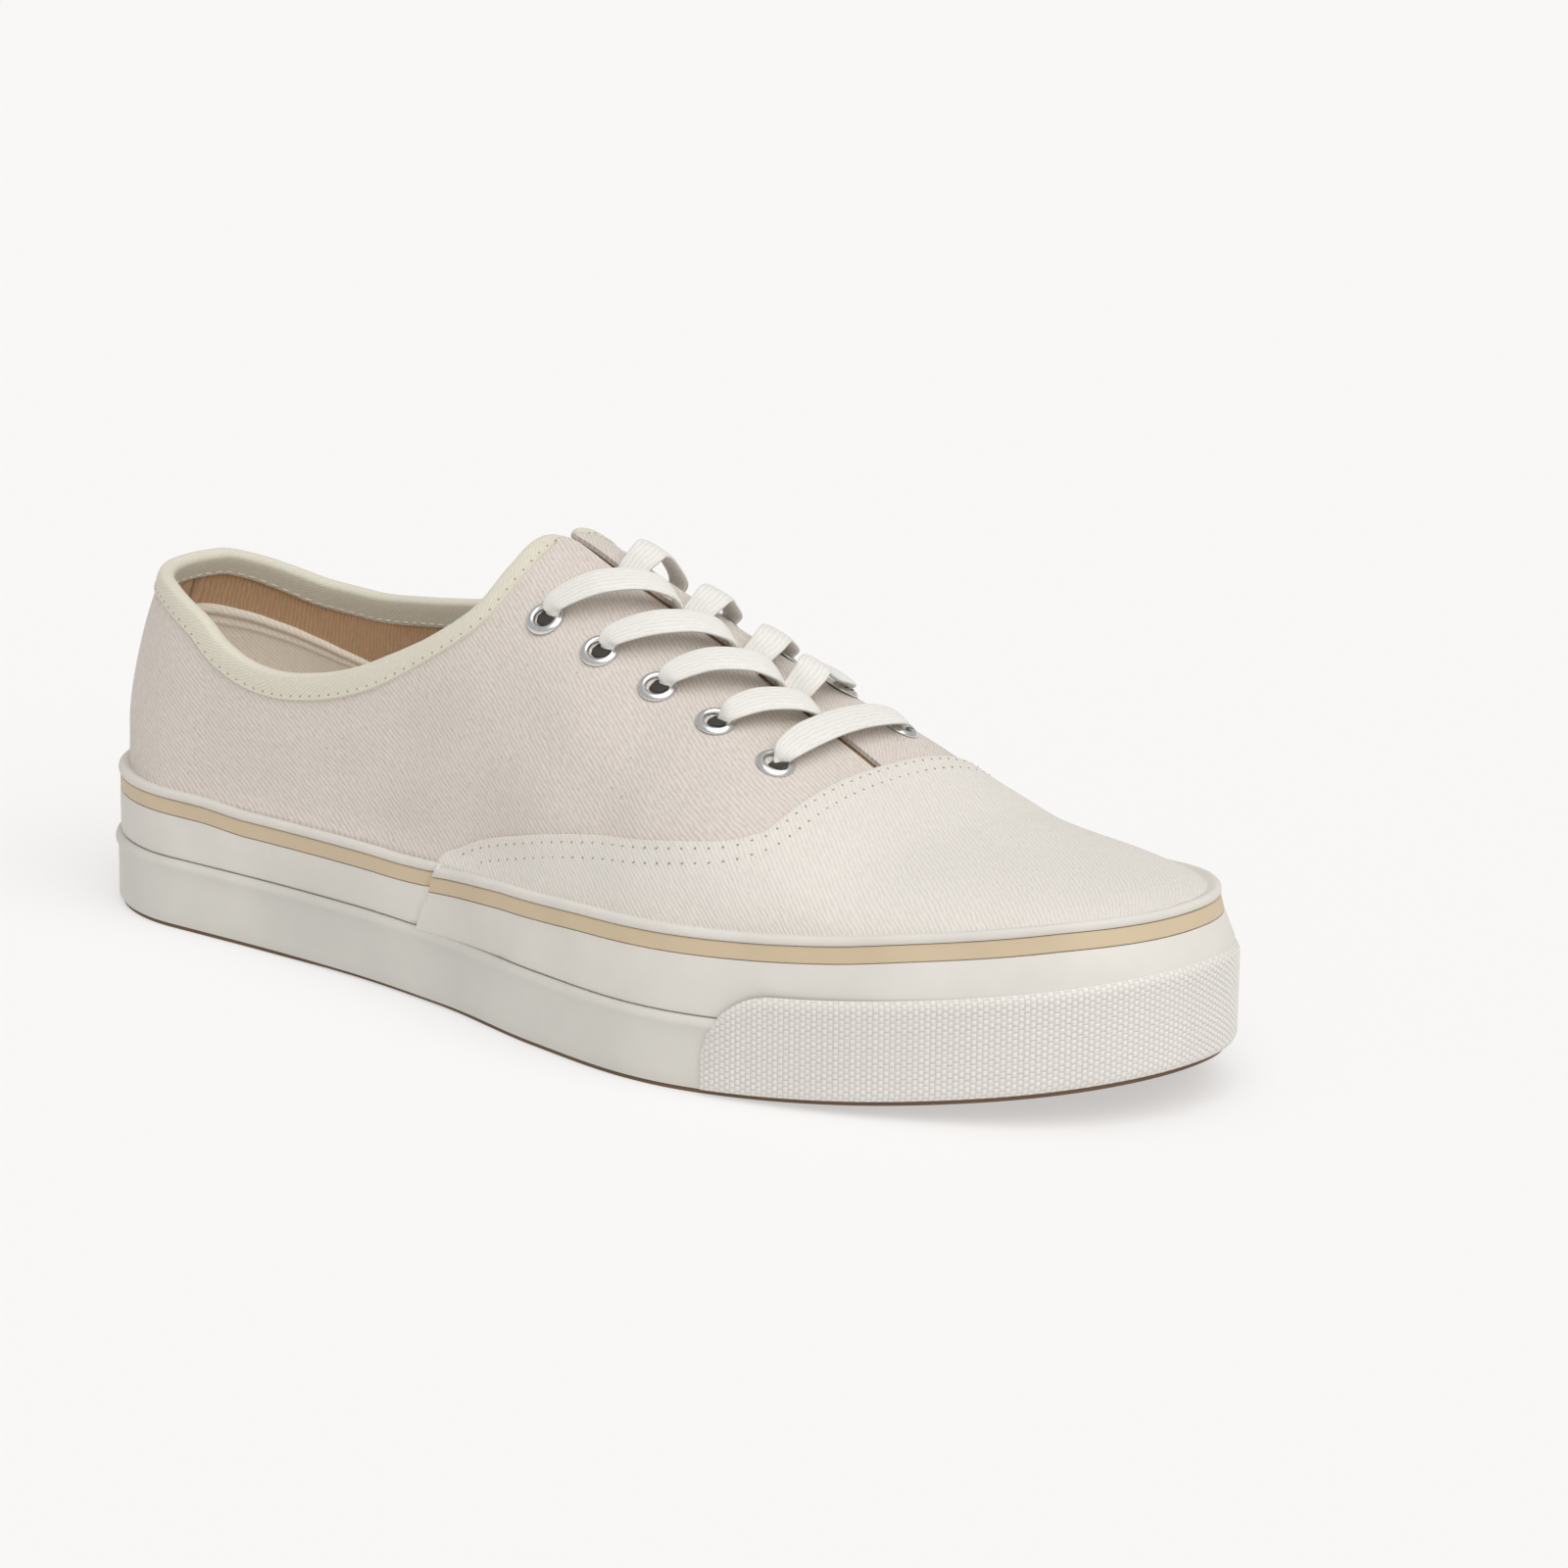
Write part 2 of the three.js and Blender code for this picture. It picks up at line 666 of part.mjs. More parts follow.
function buildUpper() {
  const outer = formSolid(0, upperFoot);
  const vampLine = vampCurve.getPoints(36);
  const tip = soleLength + clearOfForm;
  const vampRegion = sideCut([
    new THREE.Vector2(vampLine[0].x, 0),
    ...vampLine,
    new THREE.Vector2(vampLine[vampLine.length - 1].x, collarHeelHeight * 1.4),
    new THREE.Vector2(tip, collarHeelHeight * 1.4),
    new THREE.Vector2(tip, 0),
  ]);
  const rubberTop = beadTop + gap;
  const springSteps = 24;
  const overRubber = sideCut([
    new THREE.Vector2(0, rubberTop),
    ...Array.from({ length: springSteps + 1 }, (_, i) => {
      const x = springStart + ((tip - springStart) * i) / springSteps;
      return new THREE.Vector2(x, rubberTop + springLift(Math.min(x, soleLength)));
    }),
    new THREE.Vector2(tip, collarHeelHeight * 1.4),
    new THREE.Vector2(0, collarHeelHeight * 1.4),
  ]);
  const raised = formSolid(vampRaise, upperFoot).intersect(vampRegion).intersect(overRubber);
  let shell = outer.add(raised);
  shell = shell.subtract(formSolid(-wall, -clearOfForm));
  shell = shell.subtract(collarCut());
  shell = shell.subtract(throatCut());
  for (const place of eyeletPlaces()) {
    const depth = 12;
    const hole = new THREE.CylinderGeometry(eyeletBarrel + gap, eyeletBarrel + gap, depth, 16);
    hole.rotateX(Math.PI / 2);
    shell = shell.subtract(toSolid(standOn(hole, place, 0)));
  }
  return toGeometry(shell);
}
add('upper', buildUpper(), 0xe6e1da, 0.9, 0);

// Tongue: a curved plate under the throat, rising a little between the flaps
function tongueGeometry() {
  const rows = [];
  const steps = 14;
  const across = 8;
  const top = -(wall + tongueClear);
  const corner = 10;
  const cornerCut = 0.35;
  const footTaper = 0.25;
  for (let i = 0; i <= steps; i += 1) {
    const x = tongueTopX + ((tongueFootX - tongueTopX) * i) / steps;
    const cut = cornerCut * Math.max(0, 1 - (x - tongueTopX) / corner) ** 2;
    const taper = footTaper * clamp((x - tongueTaperX) / (tongueFootX - tongueTaperX));
    const half = tongueHalfWidth * (1 - cut) * (1 - taper);
    const upper = [];
    const lower = [];
    for (let k = 0; k <= across; k += 1) {
      const y = throatMiddle(x) + half * ((2 * k) / across - 1);
      upper.push(surfaceAt(x, y, top).point);
      lower.unshift(surfaceAt(x, y, top - tongueThick).point);
    }
    rows.push([...upper, ...lower]);
  }
  return outward(patchGeometry(rows, false, true));
}
add('tongue', tongueGeometry(), 0xe2dccf, 0.9, 0);

// Collar binding: a tape folded over the collar's edge, from one flap round the heel to the other
function shiftedLine(line, by) {
  return line.map((point, i) => {
    const before = line[Math.max(i - 1, 0)];
    const after = line[Math.min(i + 1, line.length - 1)];
    const along = after.clone().sub(before).normalize();
    return new THREE.Vector2(point.x - along.y * by, point.y + along.x * by);
  });
}

function bindingSolid() {
  const fold = gap + bindingThick;
  const strip = bothSides((side) => {
    const line = collarLine(side);
    return [...shiftedLine(line, fold), ...shiftedLine(line, -bindingWidth).reverse()];
  });
  const canvasSide = bothSides((side) => {
    const line = shiftedLine(collarLine(side), gap);
    const front = throatTopX + clearOfForm;
    const high = line[line.length - 1].y;
    const ends = [new THREE.Vector2(front, high), new THREE.Vector2(front, 0)];
    return [...line, ...ends, new THREE.Vector2(-clearOfForm, 0)];
  });
  const foot = collarHeelHeight * 0.6;
  const cloth = formSolid(gap, foot).subtract(formSolid(-wall - gap, -clearOfForm));
  const folded = formSolid(fold, foot).subtract(formSolid(-wall - fold, -clearOfForm));
  const slot = new THREE.BoxGeometry(flapCorner * 5, (throatHalfGap + flapCorner + gap) * 2, collarHeelHeight);
  slot.translate(throatTopX, throatMiddle(throatTopX), collarHeelHeight);
  return folded.intersect(strip).subtract(cloth.intersect(canvasSide)).subtract(toSolid(slot));
}
add('collar_binding', toGeometry(bindingSolid()), 0xe9e2d3, 0.85, 0);

// Eyelets: pressed metal rings, each with a barrel through the canvas
const flangeTop = gap + eyeletFlange;
const eyeletProfile = [
  new THREE.Vector2(eyeletBore, -wall - gap * 2),
  new THREE.Vector2(eyeletBarrel, -wall - gap * 2),
  new THREE.Vector2(eyeletBarrel, gap),
  new THREE.Vector2(eyeletOuter, gap),
  new THREE.Vector2((eyeletOuter + eyeletBarrel) / 2, flangeTop),
  new THREE.Vector2(eyeletBore, flangeTop - gap),
  new THREE.Vector2(eyeletBore, -wall - gap * 2),
];
for (const place of eyeletPlaces()) {
  const ring = new THREE.LatheGeometry(eyeletProfile, 12);
  ring.rotateX(Math.PI / 2);
  const seated = toGeometry(toSolid(outward(standOn(plainRing(ring), place, 0))));
  add(place.name, seated, 0xc4c4c2, 0.3, 0.9);
}

// A turned ring with its shared vertices merged
function plainRing(ring) {
  ring.deleteAttribute('normal');
  ring.deleteAttribute('uv');
  return mergeVertices(ring, 1e-4);
}

// Lace: flat straps over the throat. A strap arm runs from an eyelet to the throat's middle.
const laceClear = flangeTop + gap * 2;

function strapArm(from, to, steps) {
  const along = to.clone().sub(from).normalize();
  const across = new THREE.Vector2(-along.y, along.x).multiplyScalar(laceWidth / 2);
  const rows = [];
  for (let i = 0; i <= steps; i += 1) {
    const share = i / steps;
    const centre = from.clone().lerp(to, share);
    const rise = laceClear + laceArch * Math.sin((Math.PI / 2) * share) ** 2;
    const corner = (sign, height) => {
      const at = centre.clone().addScaledVector(across, sign);
      const { point, normal } = surfaceAt(at.x, at.y, 0);
      return point.addScaledVector(normal, rise + height);
    };
    rows.push([corner(-1, 0), corner(1, 0), corner(1, laceThick), corner(-1, laceThick)]);
  }
  return toSolid(outward(patchGeometry(rows, false, true)));
}

function laceCrossing(row, run) {
  const x = eyeletFirstX + ((eyeletLastX - eyeletFirstX) * row) / (eyeletRows - 1);
  const reach = Math.min(x + run, eyeletLastX - laceWidth * (row < eyeletRows - 1 ? 1 : 0));
  let solid;
  for (const side of sides) {
    const from = new THREE.Vector2(x, throatMiddle(x) + side.sign * eyeletSide);
    const to = new THREE.Vector2(reach, throatMiddle(reach) - side.sign * laceWidth * 0.3);
    const arm = strapArm(from, to, 7);
    solid = solid ? solid.add(arm) : arm;
  }
  return toGeometry(solid);
}
for (let row = 0; row < eyeletRows - 1; row += 1) {
  add(`lace_crossing_${row + 1}`, laceCrossing(row, laceRun), 0xf4f2ee, 0.9, 0);
}
add('lace_bar', laceCrossing(eyeletRows - 1, 0), 0xf4f2ee, 0.9, 0);

// The origin lies on the floor under the middle of the shoe's box
const middle = new THREE.Box3().setFromObject(part).getCenter(new THREE.Vector3());
for (const mesh of part.children) mesh.position.set(-middle.x, -middle.y, 0);

export default part;
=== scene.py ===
# %% [markdown]
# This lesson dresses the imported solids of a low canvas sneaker, the right shoe of a pair. The
# solids give every piece its place and size. Here each soft or rubber piece is made again with
# a fine surface, and then gets its cloth, rubber or metal.

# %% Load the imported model
import math

import bpy
import numpy as np
from mathutils import Matrix, Vector


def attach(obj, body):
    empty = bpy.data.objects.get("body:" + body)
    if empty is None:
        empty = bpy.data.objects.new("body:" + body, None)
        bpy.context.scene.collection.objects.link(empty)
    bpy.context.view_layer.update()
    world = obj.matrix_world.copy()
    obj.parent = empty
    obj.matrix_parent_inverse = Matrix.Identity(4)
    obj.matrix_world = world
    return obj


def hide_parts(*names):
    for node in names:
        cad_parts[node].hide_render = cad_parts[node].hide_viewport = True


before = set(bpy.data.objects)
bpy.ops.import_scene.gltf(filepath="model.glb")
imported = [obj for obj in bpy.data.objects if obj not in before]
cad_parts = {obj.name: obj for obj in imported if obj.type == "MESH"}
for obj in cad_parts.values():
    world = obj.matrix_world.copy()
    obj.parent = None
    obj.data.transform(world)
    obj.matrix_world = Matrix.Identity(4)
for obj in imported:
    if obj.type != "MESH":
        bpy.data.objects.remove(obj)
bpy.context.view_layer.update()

# %% [markdown]
# All drawing below is in the shoe's own millimetres: x from the back of the rubber, y from the
# middle of the heel and z from the floor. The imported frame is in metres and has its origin
# under the middle of the shoe, so one function moves points over.

# %% From the shoe's millimetres to the frame
SOLE = 296.0
BALL = 103.0
SHIFT = np.array([-148.75, 2.62, 0.0])


def place(points):
    return (np.asarray(points, float) + SHIFT) * 0.001


# %% [markdown]
# The camera looks from the outer side, about 39 degrees towards the toe and a little from
# above, with a long lens. It is made first, so that every later step can be looked
# at from there.

# %% Camera
CAMERA_TURN = math.radians(38.65)
CAMERA_LIFT = math.radians(14.5)
CAMERA_ROLL = math.radians(0.68)
CAMERA_AWAY = 1.1544
CAMERA_TARGET = Vector(place([159.78, 38.34, 40.0]))
FOCAL_PIXELS, PHOTO_PIXELS, SENSOR = 5225.7, 1600, 36


def aim_camera():
    flat = math.cos(CAMERA_LIFT)
    ahead = Vector((-math.sin(CAMERA_TURN) * flat, math.cos(CAMERA_TURN) * flat, -math.sin(CAMERA_LIFT)))
    right = ahead.cross(Vector((0, 0, 1))).normalized()
    up = right.cross(ahead)
    level = right * math.cos(CAMERA_ROLL) + up * math.sin(CAMERA_ROLL)
    above = up * math.cos(CAMERA_ROLL) - right * math.sin(CAMERA_ROLL)
    spot = CAMERA_TARGET - ahead * CAMERA_AWAY
    bpy.ops.object.camera_add(location=spot)
    camera = bpy.context.object
    camera.name = "photo_camera"
    basis = np.array([level, above, -ahead]).T
    camera.matrix_world = Matrix.Translation(spot) @ Matrix(basis.tolist()).to_4x4()
    camera.data.sensor_width = SENSOR
    camera.data.lens = FOCAL_PIXELS / PHOTO_PIXELS * SENSOR
    camera.data.clip_end = 20
    bpy.context.scene.camera = camera


aim_camera()

# %% [markdown]
# A shoe is drawn over a last. Its plan comes from a few rows of half widths, and each upright
# section is a curve between the feather line, where the canvas leaves the rubber, and the
# ridge. These are the same rows that the solids were made from.

# %% The last: rows of sizes
PLAN = {
    "at": [0, 0.135, 0.21, 0.33, 0.44, 0.55, 0.65, 0.72, 0.82, 0.89, 0.95, 1],
    "half": [0.74, 0.74, 0.74, 0.725, 0.762, 0.876, 0.98, 1, 1, 1, 1, 1],
    "swing": [0, 0, -0.002, -0.046, -0.093, -0.13, -0.107, -0.05, 0.034, 0.093, 0.123, 0.15],
}
FORM = {
    "at": [0, 0.2, 0.34, 0.44, 0.48, 0.59, 0.64, 0.7, 0.76, 0.81, 0.91, 1],
    "rise": [1.35, 1.317, 1.2, 1.1, 1.025, 0.805, 0.683, 0.535, 0.375, 0.27, 0.19, 0.155],
    "side": [2.6, 2.5, 2.3, 2.25, 2.2, 2.0, 2.2, 2.4, 2.4, 2.4, 2.4, 2.5],
    "crown": [1.85, 1.65, 1.75, 2.1, 2.2, 2.0, 2.4, 2.7, 2.6, 2.4, 2.3, 2.4],
    "turn": [0, 0, 0.43, 0.86, 0.93, 1, 0.86, 0.64, 0.43, 0.21, 0, 0],
}
COLLAR = [
    (0.045, 0.964, 0.964), (0.074, 0.958, 0.893), (0.1, 0.944, 0.853), (0.139, 0.89, 0.835),
    (0.165, 0.826, 0.835), (0.196, 0.782, 0.846), (0.23, 0.768, 0.86), (0.264, 0.781, 0.879),
    (0.296, 0.808, 0.908), (0.326, 0.849, 0.942), (0.357, 0.91, 0.98), (0.395, 0.999, 1.044),
    (0.415, 1.069, 1.104), (0.424, 1.16, 1.172), (0.4275, 1.23, 1.23), (0.4285, 1.34, 1.34),
]
VAMP = [
    (0.42, 0.2), (0.426, 0.397), (0.449, 0.452), (0.478, 0.497), (0.536, 0.553), (0.587, 0.588),
    (0.637, 0.61), (0.678, 0.628), (0.7, 0.637), (0.716, 0.652), (0.7255, 0.69), (0.7275, 0.9),
]
HEEL_TOP = 80.5
FEATHER = 32.0


def column(rows, name, at):
    xs, ys = np.array(rows["at"], float), np.array(rows[name], float)
    at = np.clip(np.asarray(at, float), xs[0], xs[-1])
    low = np.clip(np.searchsorted(xs, at, side="left") - 1, 0, len(xs) - 2)
    slope = np.diff(ys) / np.diff(xs)
    before, after = slope[:-1], slope[1:]
    total = np.where(before + after == 0, 1, before + after)
    inner = np.where(before * after <= 0, 0, 2 * before * after / total)
    tangent = np.concatenate([[slope[0]], inner, [slope[-1]]])
    span = xs[low + 1] - xs[low]
    t = (at - xs[low]) / span
    ease = t * t * (3 - 2 * t)
    bend = span * t * (1 - t) * (tangent[low] * (1 - t) - tangent[low + 1] * t)
    return ys[low] * (1 - ease) + ys[low + 1] * ease + bend


def spring(x):
    return 9.5 * np.clip((np.asarray(x, float) - 199) / 97, 0, 1) ** 2


def outline(x, heel, side, toe):
    x = np.asarray(x, float)
    half = BALL / 2 * column(PLAN, "half", x / SOLE) - side
    swing = BALL / 2 * column(PLAN, "swing", x / SOLE)
    back = np.clip((40 - x) / (40 - heel), 0, 1)
    front = np.clip((x - (SOLE - 98)) / (98 - toe), 0, 1)
    return half * np.sqrt(1 - back**2) * (1 - front**2.15) ** (1 / 2.15), swing


# %% The last: its surface
def form(x, angle, out=0.0):
    """Point of the last at x and an angle from the outer feather line (0) to the inner one (pi)."""
    x, angle, out = np.broadcast_arrays(np.asarray(x, float), np.asarray(angle, float), out)
    heel, side, toe = 2.2 - out, 5.2 - out, 5.4 - out
    x = np.clip(x, heel, SOLE - toe)
    half, swing = outline(x, heel, side, toe)
    at = x / SOLE
    front = np.clip((x - (SOLE - 62)) / (62 - toe), 0, 1)
    rise = (60 * column(FORM, "rise", at) + out) * np.sqrt(1 - front**2.15)
    cosine, sine = np.cos(angle), np.abs(np.sin(angle))
    across = np.abs(cosine) ** (2 / column(FORM, "side", at)) * np.sign(cosine)
    up = sine ** (2 / column(FORM, "crown", at))
    rise_here = rise * up
    foot = 2.1 * np.exp(-rise_here / 3.2) * np.clip((x - 4) / 30, 0, 1) * (1 - front**4)
    y = swing - (half + foot * (half > 8)) * across + 7 * column(FORM, "turn", at) * up
    z = FEATHER + spring(x) + rise_here
    height = np.clip((z - FEATHER - 9) / 40, 0, 1.4)
    lean = 11.5 * height**1.8 * np.clip(1 - x / 100, 0, 1)
    return np.stack([x + lean, y, z], -1)


def normal_at(x, angle, out=0.0):
    step = 0.004
    x = np.clip(x, 2.6, SOLE - 5.8)
    along = form(x + 0.2, angle, out) - form(x - 0.2, angle, out)
    around = form(x, angle + step, out) - form(x, angle - step, out)
    normal = np.cross(along, around)
    return normal / np.maximum(np.linalg.norm(normal, axis=-1, keepdims=True), 1e-9)


def middle(x):
    """The throat's middle line, over the ridge."""
    at = np.asarray(x, float) / SOLE
    return BALL / 2 * column(PLAN, "swing", at) + 7 * column(FORM, "turn", at)


def angle_at_y(x, y, out=0.0):
    x, y = np.broadcast_arrays(np.asarray(x, float), np.asarray(y, float))
    low, high = np.full(x.shape, 0.01), np.full(x.shape, math.pi - 0.01)
    for _ in range(34):
        half = (low + high) / 2
        left = form(x, half, out)[..., 1] < y
        low, high = np.where(left, half, low), np.where(left, high, half)
    return (low + high) / 2


def through(rows, count):
    """Smooth curve through rows of numbers."""
    pts = np.array(rows, float)
    n = len(pts)
    result = []
    for t in np.linspace(0, n - 1, count):
        i = min(int(t), n - 2)
        w = t - i
        a, b, c, d = pts[max(i - 1, 0)], pts[i], pts[i + 1], pts[min(i + 2, n - 1)]
        v0, v1 = (c - a) / 2, (d - b) / 2
        cubic = (2 * b - 2 * c + v0 + v1) * w**3
        result.append(cubic + (3 * c - 3 * b - 2 * v0 - v1) * w**2 + v0 * w + b)
    return np.array(result)


def curve_points(rows, count):
    """Smooth curve through rows of shares, seen from the side, in millimetres."""
    return through(np.array(rows, float) * [SOLE, HEEL_TOP], count)


# %% [markdown]
# Most pieces here are cloth or rubber that follows the last, so each starts as a grid
# primitive whose crossings are then moved to their places on the last. That gives even
# faces, clean edges and a ready map of the cloth in millimetres for the weave.

# %% Helpers that model a piece
def deselect():
    for item in bpy.context.selected_objects:
        item.select_set(False)


def grid_piece(name, points, uv=None, closed=False, flip=False):
    """A grid primitive with its crossings moved to points[row][column]."""
    rows, cols = points.shape[:2]
    deselect()
    bpy.ops.mesh.primitive_grid_add(x_subdivisions=cols - 1, y_subdivisions=rows - 1, size=2)
    piece = bpy.context.object
    piece.name = piece.data.name = name
    mesh = piece.data
    flat = np.empty(len(mesh.vertices) * 3)
    mesh.vertices.foreach_get("co", flat)
    flat = flat.reshape(-1, 3)
    c = np.rint((flat[:, 0] + 1) / 2 * (cols - 1)).astype(int)
    r = np.rint((flat[:, 1] + 1) / 2 * (rows - 1)).astype(int)
    mesh.vertices.foreach_set("co", place(points[r, c]).ravel())
    if uv is not None:
        corner = np.empty(len(mesh.loops), int)
        mesh.loops.foreach_get("vertex_index", corner)
        layer = mesh.uv_layers.active or mesh.uv_layers.new(name="cloth")
        layer.name = "cloth"
        layer.data.foreach_set("uv", uv[r, c][corner].ravel())
    bpy.ops.object.mode_set(mode="EDIT")
    bpy.ops.mesh.select_all(action="SELECT")
    if closed:
        bpy.ops.mesh.remove_doubles(threshold=0.00001)
    if flip:
        bpy.ops.mesh.flip_normals()
    bpy.ops.object.mode_set(mode="OBJECT")
    bpy.ops.object.shade_smooth()
    return piece


def apply(piece, kind, **settings):
    bpy.context.view_layer.objects.active = piece
    modifier = piece.modifiers.new(kind.lower(), kind)
    for key, value in settings.items():
        setattr(modifier, key, value)
    bpy.ops.object.modifier_apply(modifier=modifier.name)


def finish(piece, slot, material, *nodes, angle=None):
    piece.data.materials.clear()
    piece.data.materials.append(material)
    if angle:
        deselect()
        piece.select_set(True)
        bpy.context.view_layer.objects.active = piece
        bpy.ops.object.shade_smooth_by_angle(angle=math.radians(angle))
    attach(piece, "root")
    if nodes:
        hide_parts(*nodes)
    print(piece.name, len(piece.data.polygons), "faces")


def smooth(values, times=6):
    for _ in range(times):
        inner = (values[:-2] + 2 * values[1:-1] + values[2:]) / 4
        values = np.concatenate([values[:1], inner, values[-1:]])
    return values


def length_along(points):
    """Distance run along the last but one axis of an array of points."""
    steps = np.linalg.norm(np.diff(points, axis=-2), axis=-1)
    start = np.zeros(steps.shape[:-1] + (1,))
    return np.concatenate([start, np.cumsum(steps, -1)], -1)


# %% [markdown]
# Shader sums read best as plain sums, so one small class wraps a socket and lets Python's
# own signs add the Math nodes. Every other node comes from one method.

# %% Helpers that mix a finish
class Sum:
    def __init__(self, finish, socket):
        self.finish, self.socket = finish, socket

    def do(self, operation, *others):
        return self.finish.node("ShaderNodeMath", {"operation": operation}, self, *others)

    def __add__(self, other):
        return self.do("ADD", other)

    def __sub__(self, other):
        return self.do("SUBTRACT", other)

    def __mul__(self, other):
        return self.do("MULTIPLY", other)

    def __truediv__(self, other):
        return self.do("DIVIDE", other)


class Finish:
    """A material in the making."""

    def __init__(self, name, **sockets):
        self.material = bpy.data.materials.new(name)
        self.material.use_nodes = True
        self.tree = self.material.node_tree
        self.shader = next(n for n in self.tree.nodes if n.type == "BSDF_PRINCIPLED")
        for key, value in sockets.items():
            self.shader.inputs[key.replace("_", " ")].default_value = value

    def node(self, kind, settings, *values, out=0, **named):
        node = self.tree.nodes.new(kind)
        for key, value in settings.items():
            setattr(node, key, value)
        pairs = list(enumerate(values)) + [(k.replace("_", " "), v) for k, v in named.items()]
        for key, value in pairs:
            if isinstance(value, Sum):
                self.tree.links.new(value.socket, node.inputs[key])
            else:
                node.inputs[key].default_value = value
        return Sum(self, node.outputs[out])

    def cloth(self):
        uv = self.node("ShaderNodeUVMap", {"uv_map": "cloth"})
        return uv, *self.split(uv)

    def split(self, vector):
        return [self.node("ShaderNodeSeparateXYZ", {}, vector, out=i) for i in (0, 1)]

    def place(self):
        return self.node("ShaderNodeTexCoord", {}, out=3)

    def noise(self, where, scale, detail=2.0, rough=0.5):
        kind = "ShaderNodeTexNoise"
        return self.node(kind, {}, Vector=where, Scale=scale, Detail=detail, Roughness=rough)

    def ramp(self, value, low, high):
        settings = {"interpolation_type": "SMOOTHSTEP"}
        return self.node("ShaderNodeMapRange", settings, Value=value, From_Min=low, From_Max=high)

    def mix(self, factor, a, b):
        node = self.tree.nodes.new("ShaderNodeMix")
        node.data_type = "RGBA"
        for key, value in ((0, factor), (6, a), (7, b)):
            if isinstance(value, Sum):
                self.tree.links.new(value.socket, node.inputs[key])
            else:
                node.inputs[key].default_value = value
        return Sum(self, node.outputs[2])

    def colour(self, value):
        self.tree.links.new(value.socket, self.shader.inputs["Base Color"])
        return self

    def rough(self, value):
        self.tree.links.new(value.socket, self.shader.inputs["Roughness"])
        return self

    def bump(self, height, depth, strength=1.0):
        bump = self.node("ShaderNodeBump", {}, Height=height, Distance=depth, Strength=strength)
        self.tree.links.new(bump.socket, self.shader.inputs["Normal"])
        return self


def rgb(r, g, b):
    return (r, g, b, 1.0)


def wave(finish, value):
    """A sine from 0 to 1 of a value counted in turns."""
    return (value * (2 * math.pi)).do("SINE") * 0.5 + 0.5


# %% [markdown]
# The canvas is a cotton twill: fine raised lines run aslant, about 1 mm apart, and each line
# is broken where the yarns cross. A little unevenness and a few dark flecks of seed keep it
# from looking printed.

# %% Canvas and the other cloths
def twill(name, tint, pitch=1.0, slant=(0.55, 0.83), fleck=0.0, depth=0.00014, contrast=0.2):
    f = Finish(name, Roughness=0.9, Sheen_Weight=0.15, Sheen_Roughness=0.5, Specular_IOR_Level=0.25)
    uv, u, v = f.cloth()
    uneven = f.noise(uv, 0.3, 3.0)
    over = (u * slant[0] + v * slant[1]) / pitch + uneven * 1.1
    along = (u * slant[1] - v * slant[0]) / (pitch * 2.2)
    yarn = f.noise(f.node("ShaderNodeCombineXYZ", {}, over * 1.3, along), 1.0, 3.0, 0.7)
    height = wave(f, over) * 0.4 + yarn * 1.05
    wide = f.noise(uv, 0.035, 4.0, 0.6)
    # The colour follows the weave's height: painted shade in its valleys and painted light on its ridges,
    # mixed with random tone from the wide noise.
    shading = f.ramp(height + wide * 0.3, 0.45, 1.25)
    shade = tuple(c * (1 - contrast) for c in tint)
    bright = tuple(min(c * (1 + contrast * 0.45), 0.95) for c in tint)
    colour = f.mix(shading, rgb(*shade), rgb(*bright))
    if fleck:
        seeds = f.node("ShaderNodeTexVoronoi", {"feature": "F1"}, Vector=uv, Scale=0.4)
        rarely = f.noise(uv, 0.09, 2.0)
        spot = f.ramp(seeds, 0.15, 0.05) * f.ramp(rarely, 0.5, 0.62) * fleck
        colour = f.mix(spot, colour, rgb(0.30, 0.26, 0.23))
    return f.colour(colour).bump(height, depth).material


canvas = twill("canvas_twill", (0.665, 0.60, 0.545), fleck=0.6, contrast=0.165)
vamp_canvas = twill("vamp_twill", (0.725, 0.685, 0.63), fleck=0.25, contrast=0.11)
lining = twill("lining_drill", (0.57, 0.37, 0.22), 1.1, (1.0, 0.04))
heel_cloth = twill("heel_lining", (0.86, 0.79, 0.69), 0.8, (0.7, 0.7), depth=0.00006, contrast=0.12)
tongue_cloth = twill("tongue_canvas", (0.68, 0.58, 0.44), 0.9, (1.0, 0.0))
insole_cloth = twill("insole_cloth", (0.62, 0.54, 0.44), 0.8, (0.0, 1.0), depth=0.00006)
tape_cloth = twill("binding_tape", (0.69, 0.65, 0.545), 0.7, (0.5, 0.86), depth=0.00006, contrast=0.12)
lace_cloth = twill("lace_cotton", (0.78, 0.76, 0.715), 0.95, (0.0, 1.0), depth=0.00009, contrast=0.1)


# %% Rubber, thread and metal
def rubber(name, tint, roughness=0.5, grain=0.00003, soil=0.06):
    f = Finish(name, Specular_IOR_Level=0.4)
    where = f.place()
    fine, wide = f.noise(where, 1400.0, 3.0), f.noise(where, 22.0, 4.0, 0.6)
    dim = tuple(c * (1 - soil * 2) for c in tint)
    f.colour(f.mix(f.ramp(wide, 0.3, 0.72), rgb(*dim), rgb(*tint)))
    f.rough(wide * 0.12 + fine * 0.1 + (roughness - 0.1))
    return f.bump(fine, grain).material


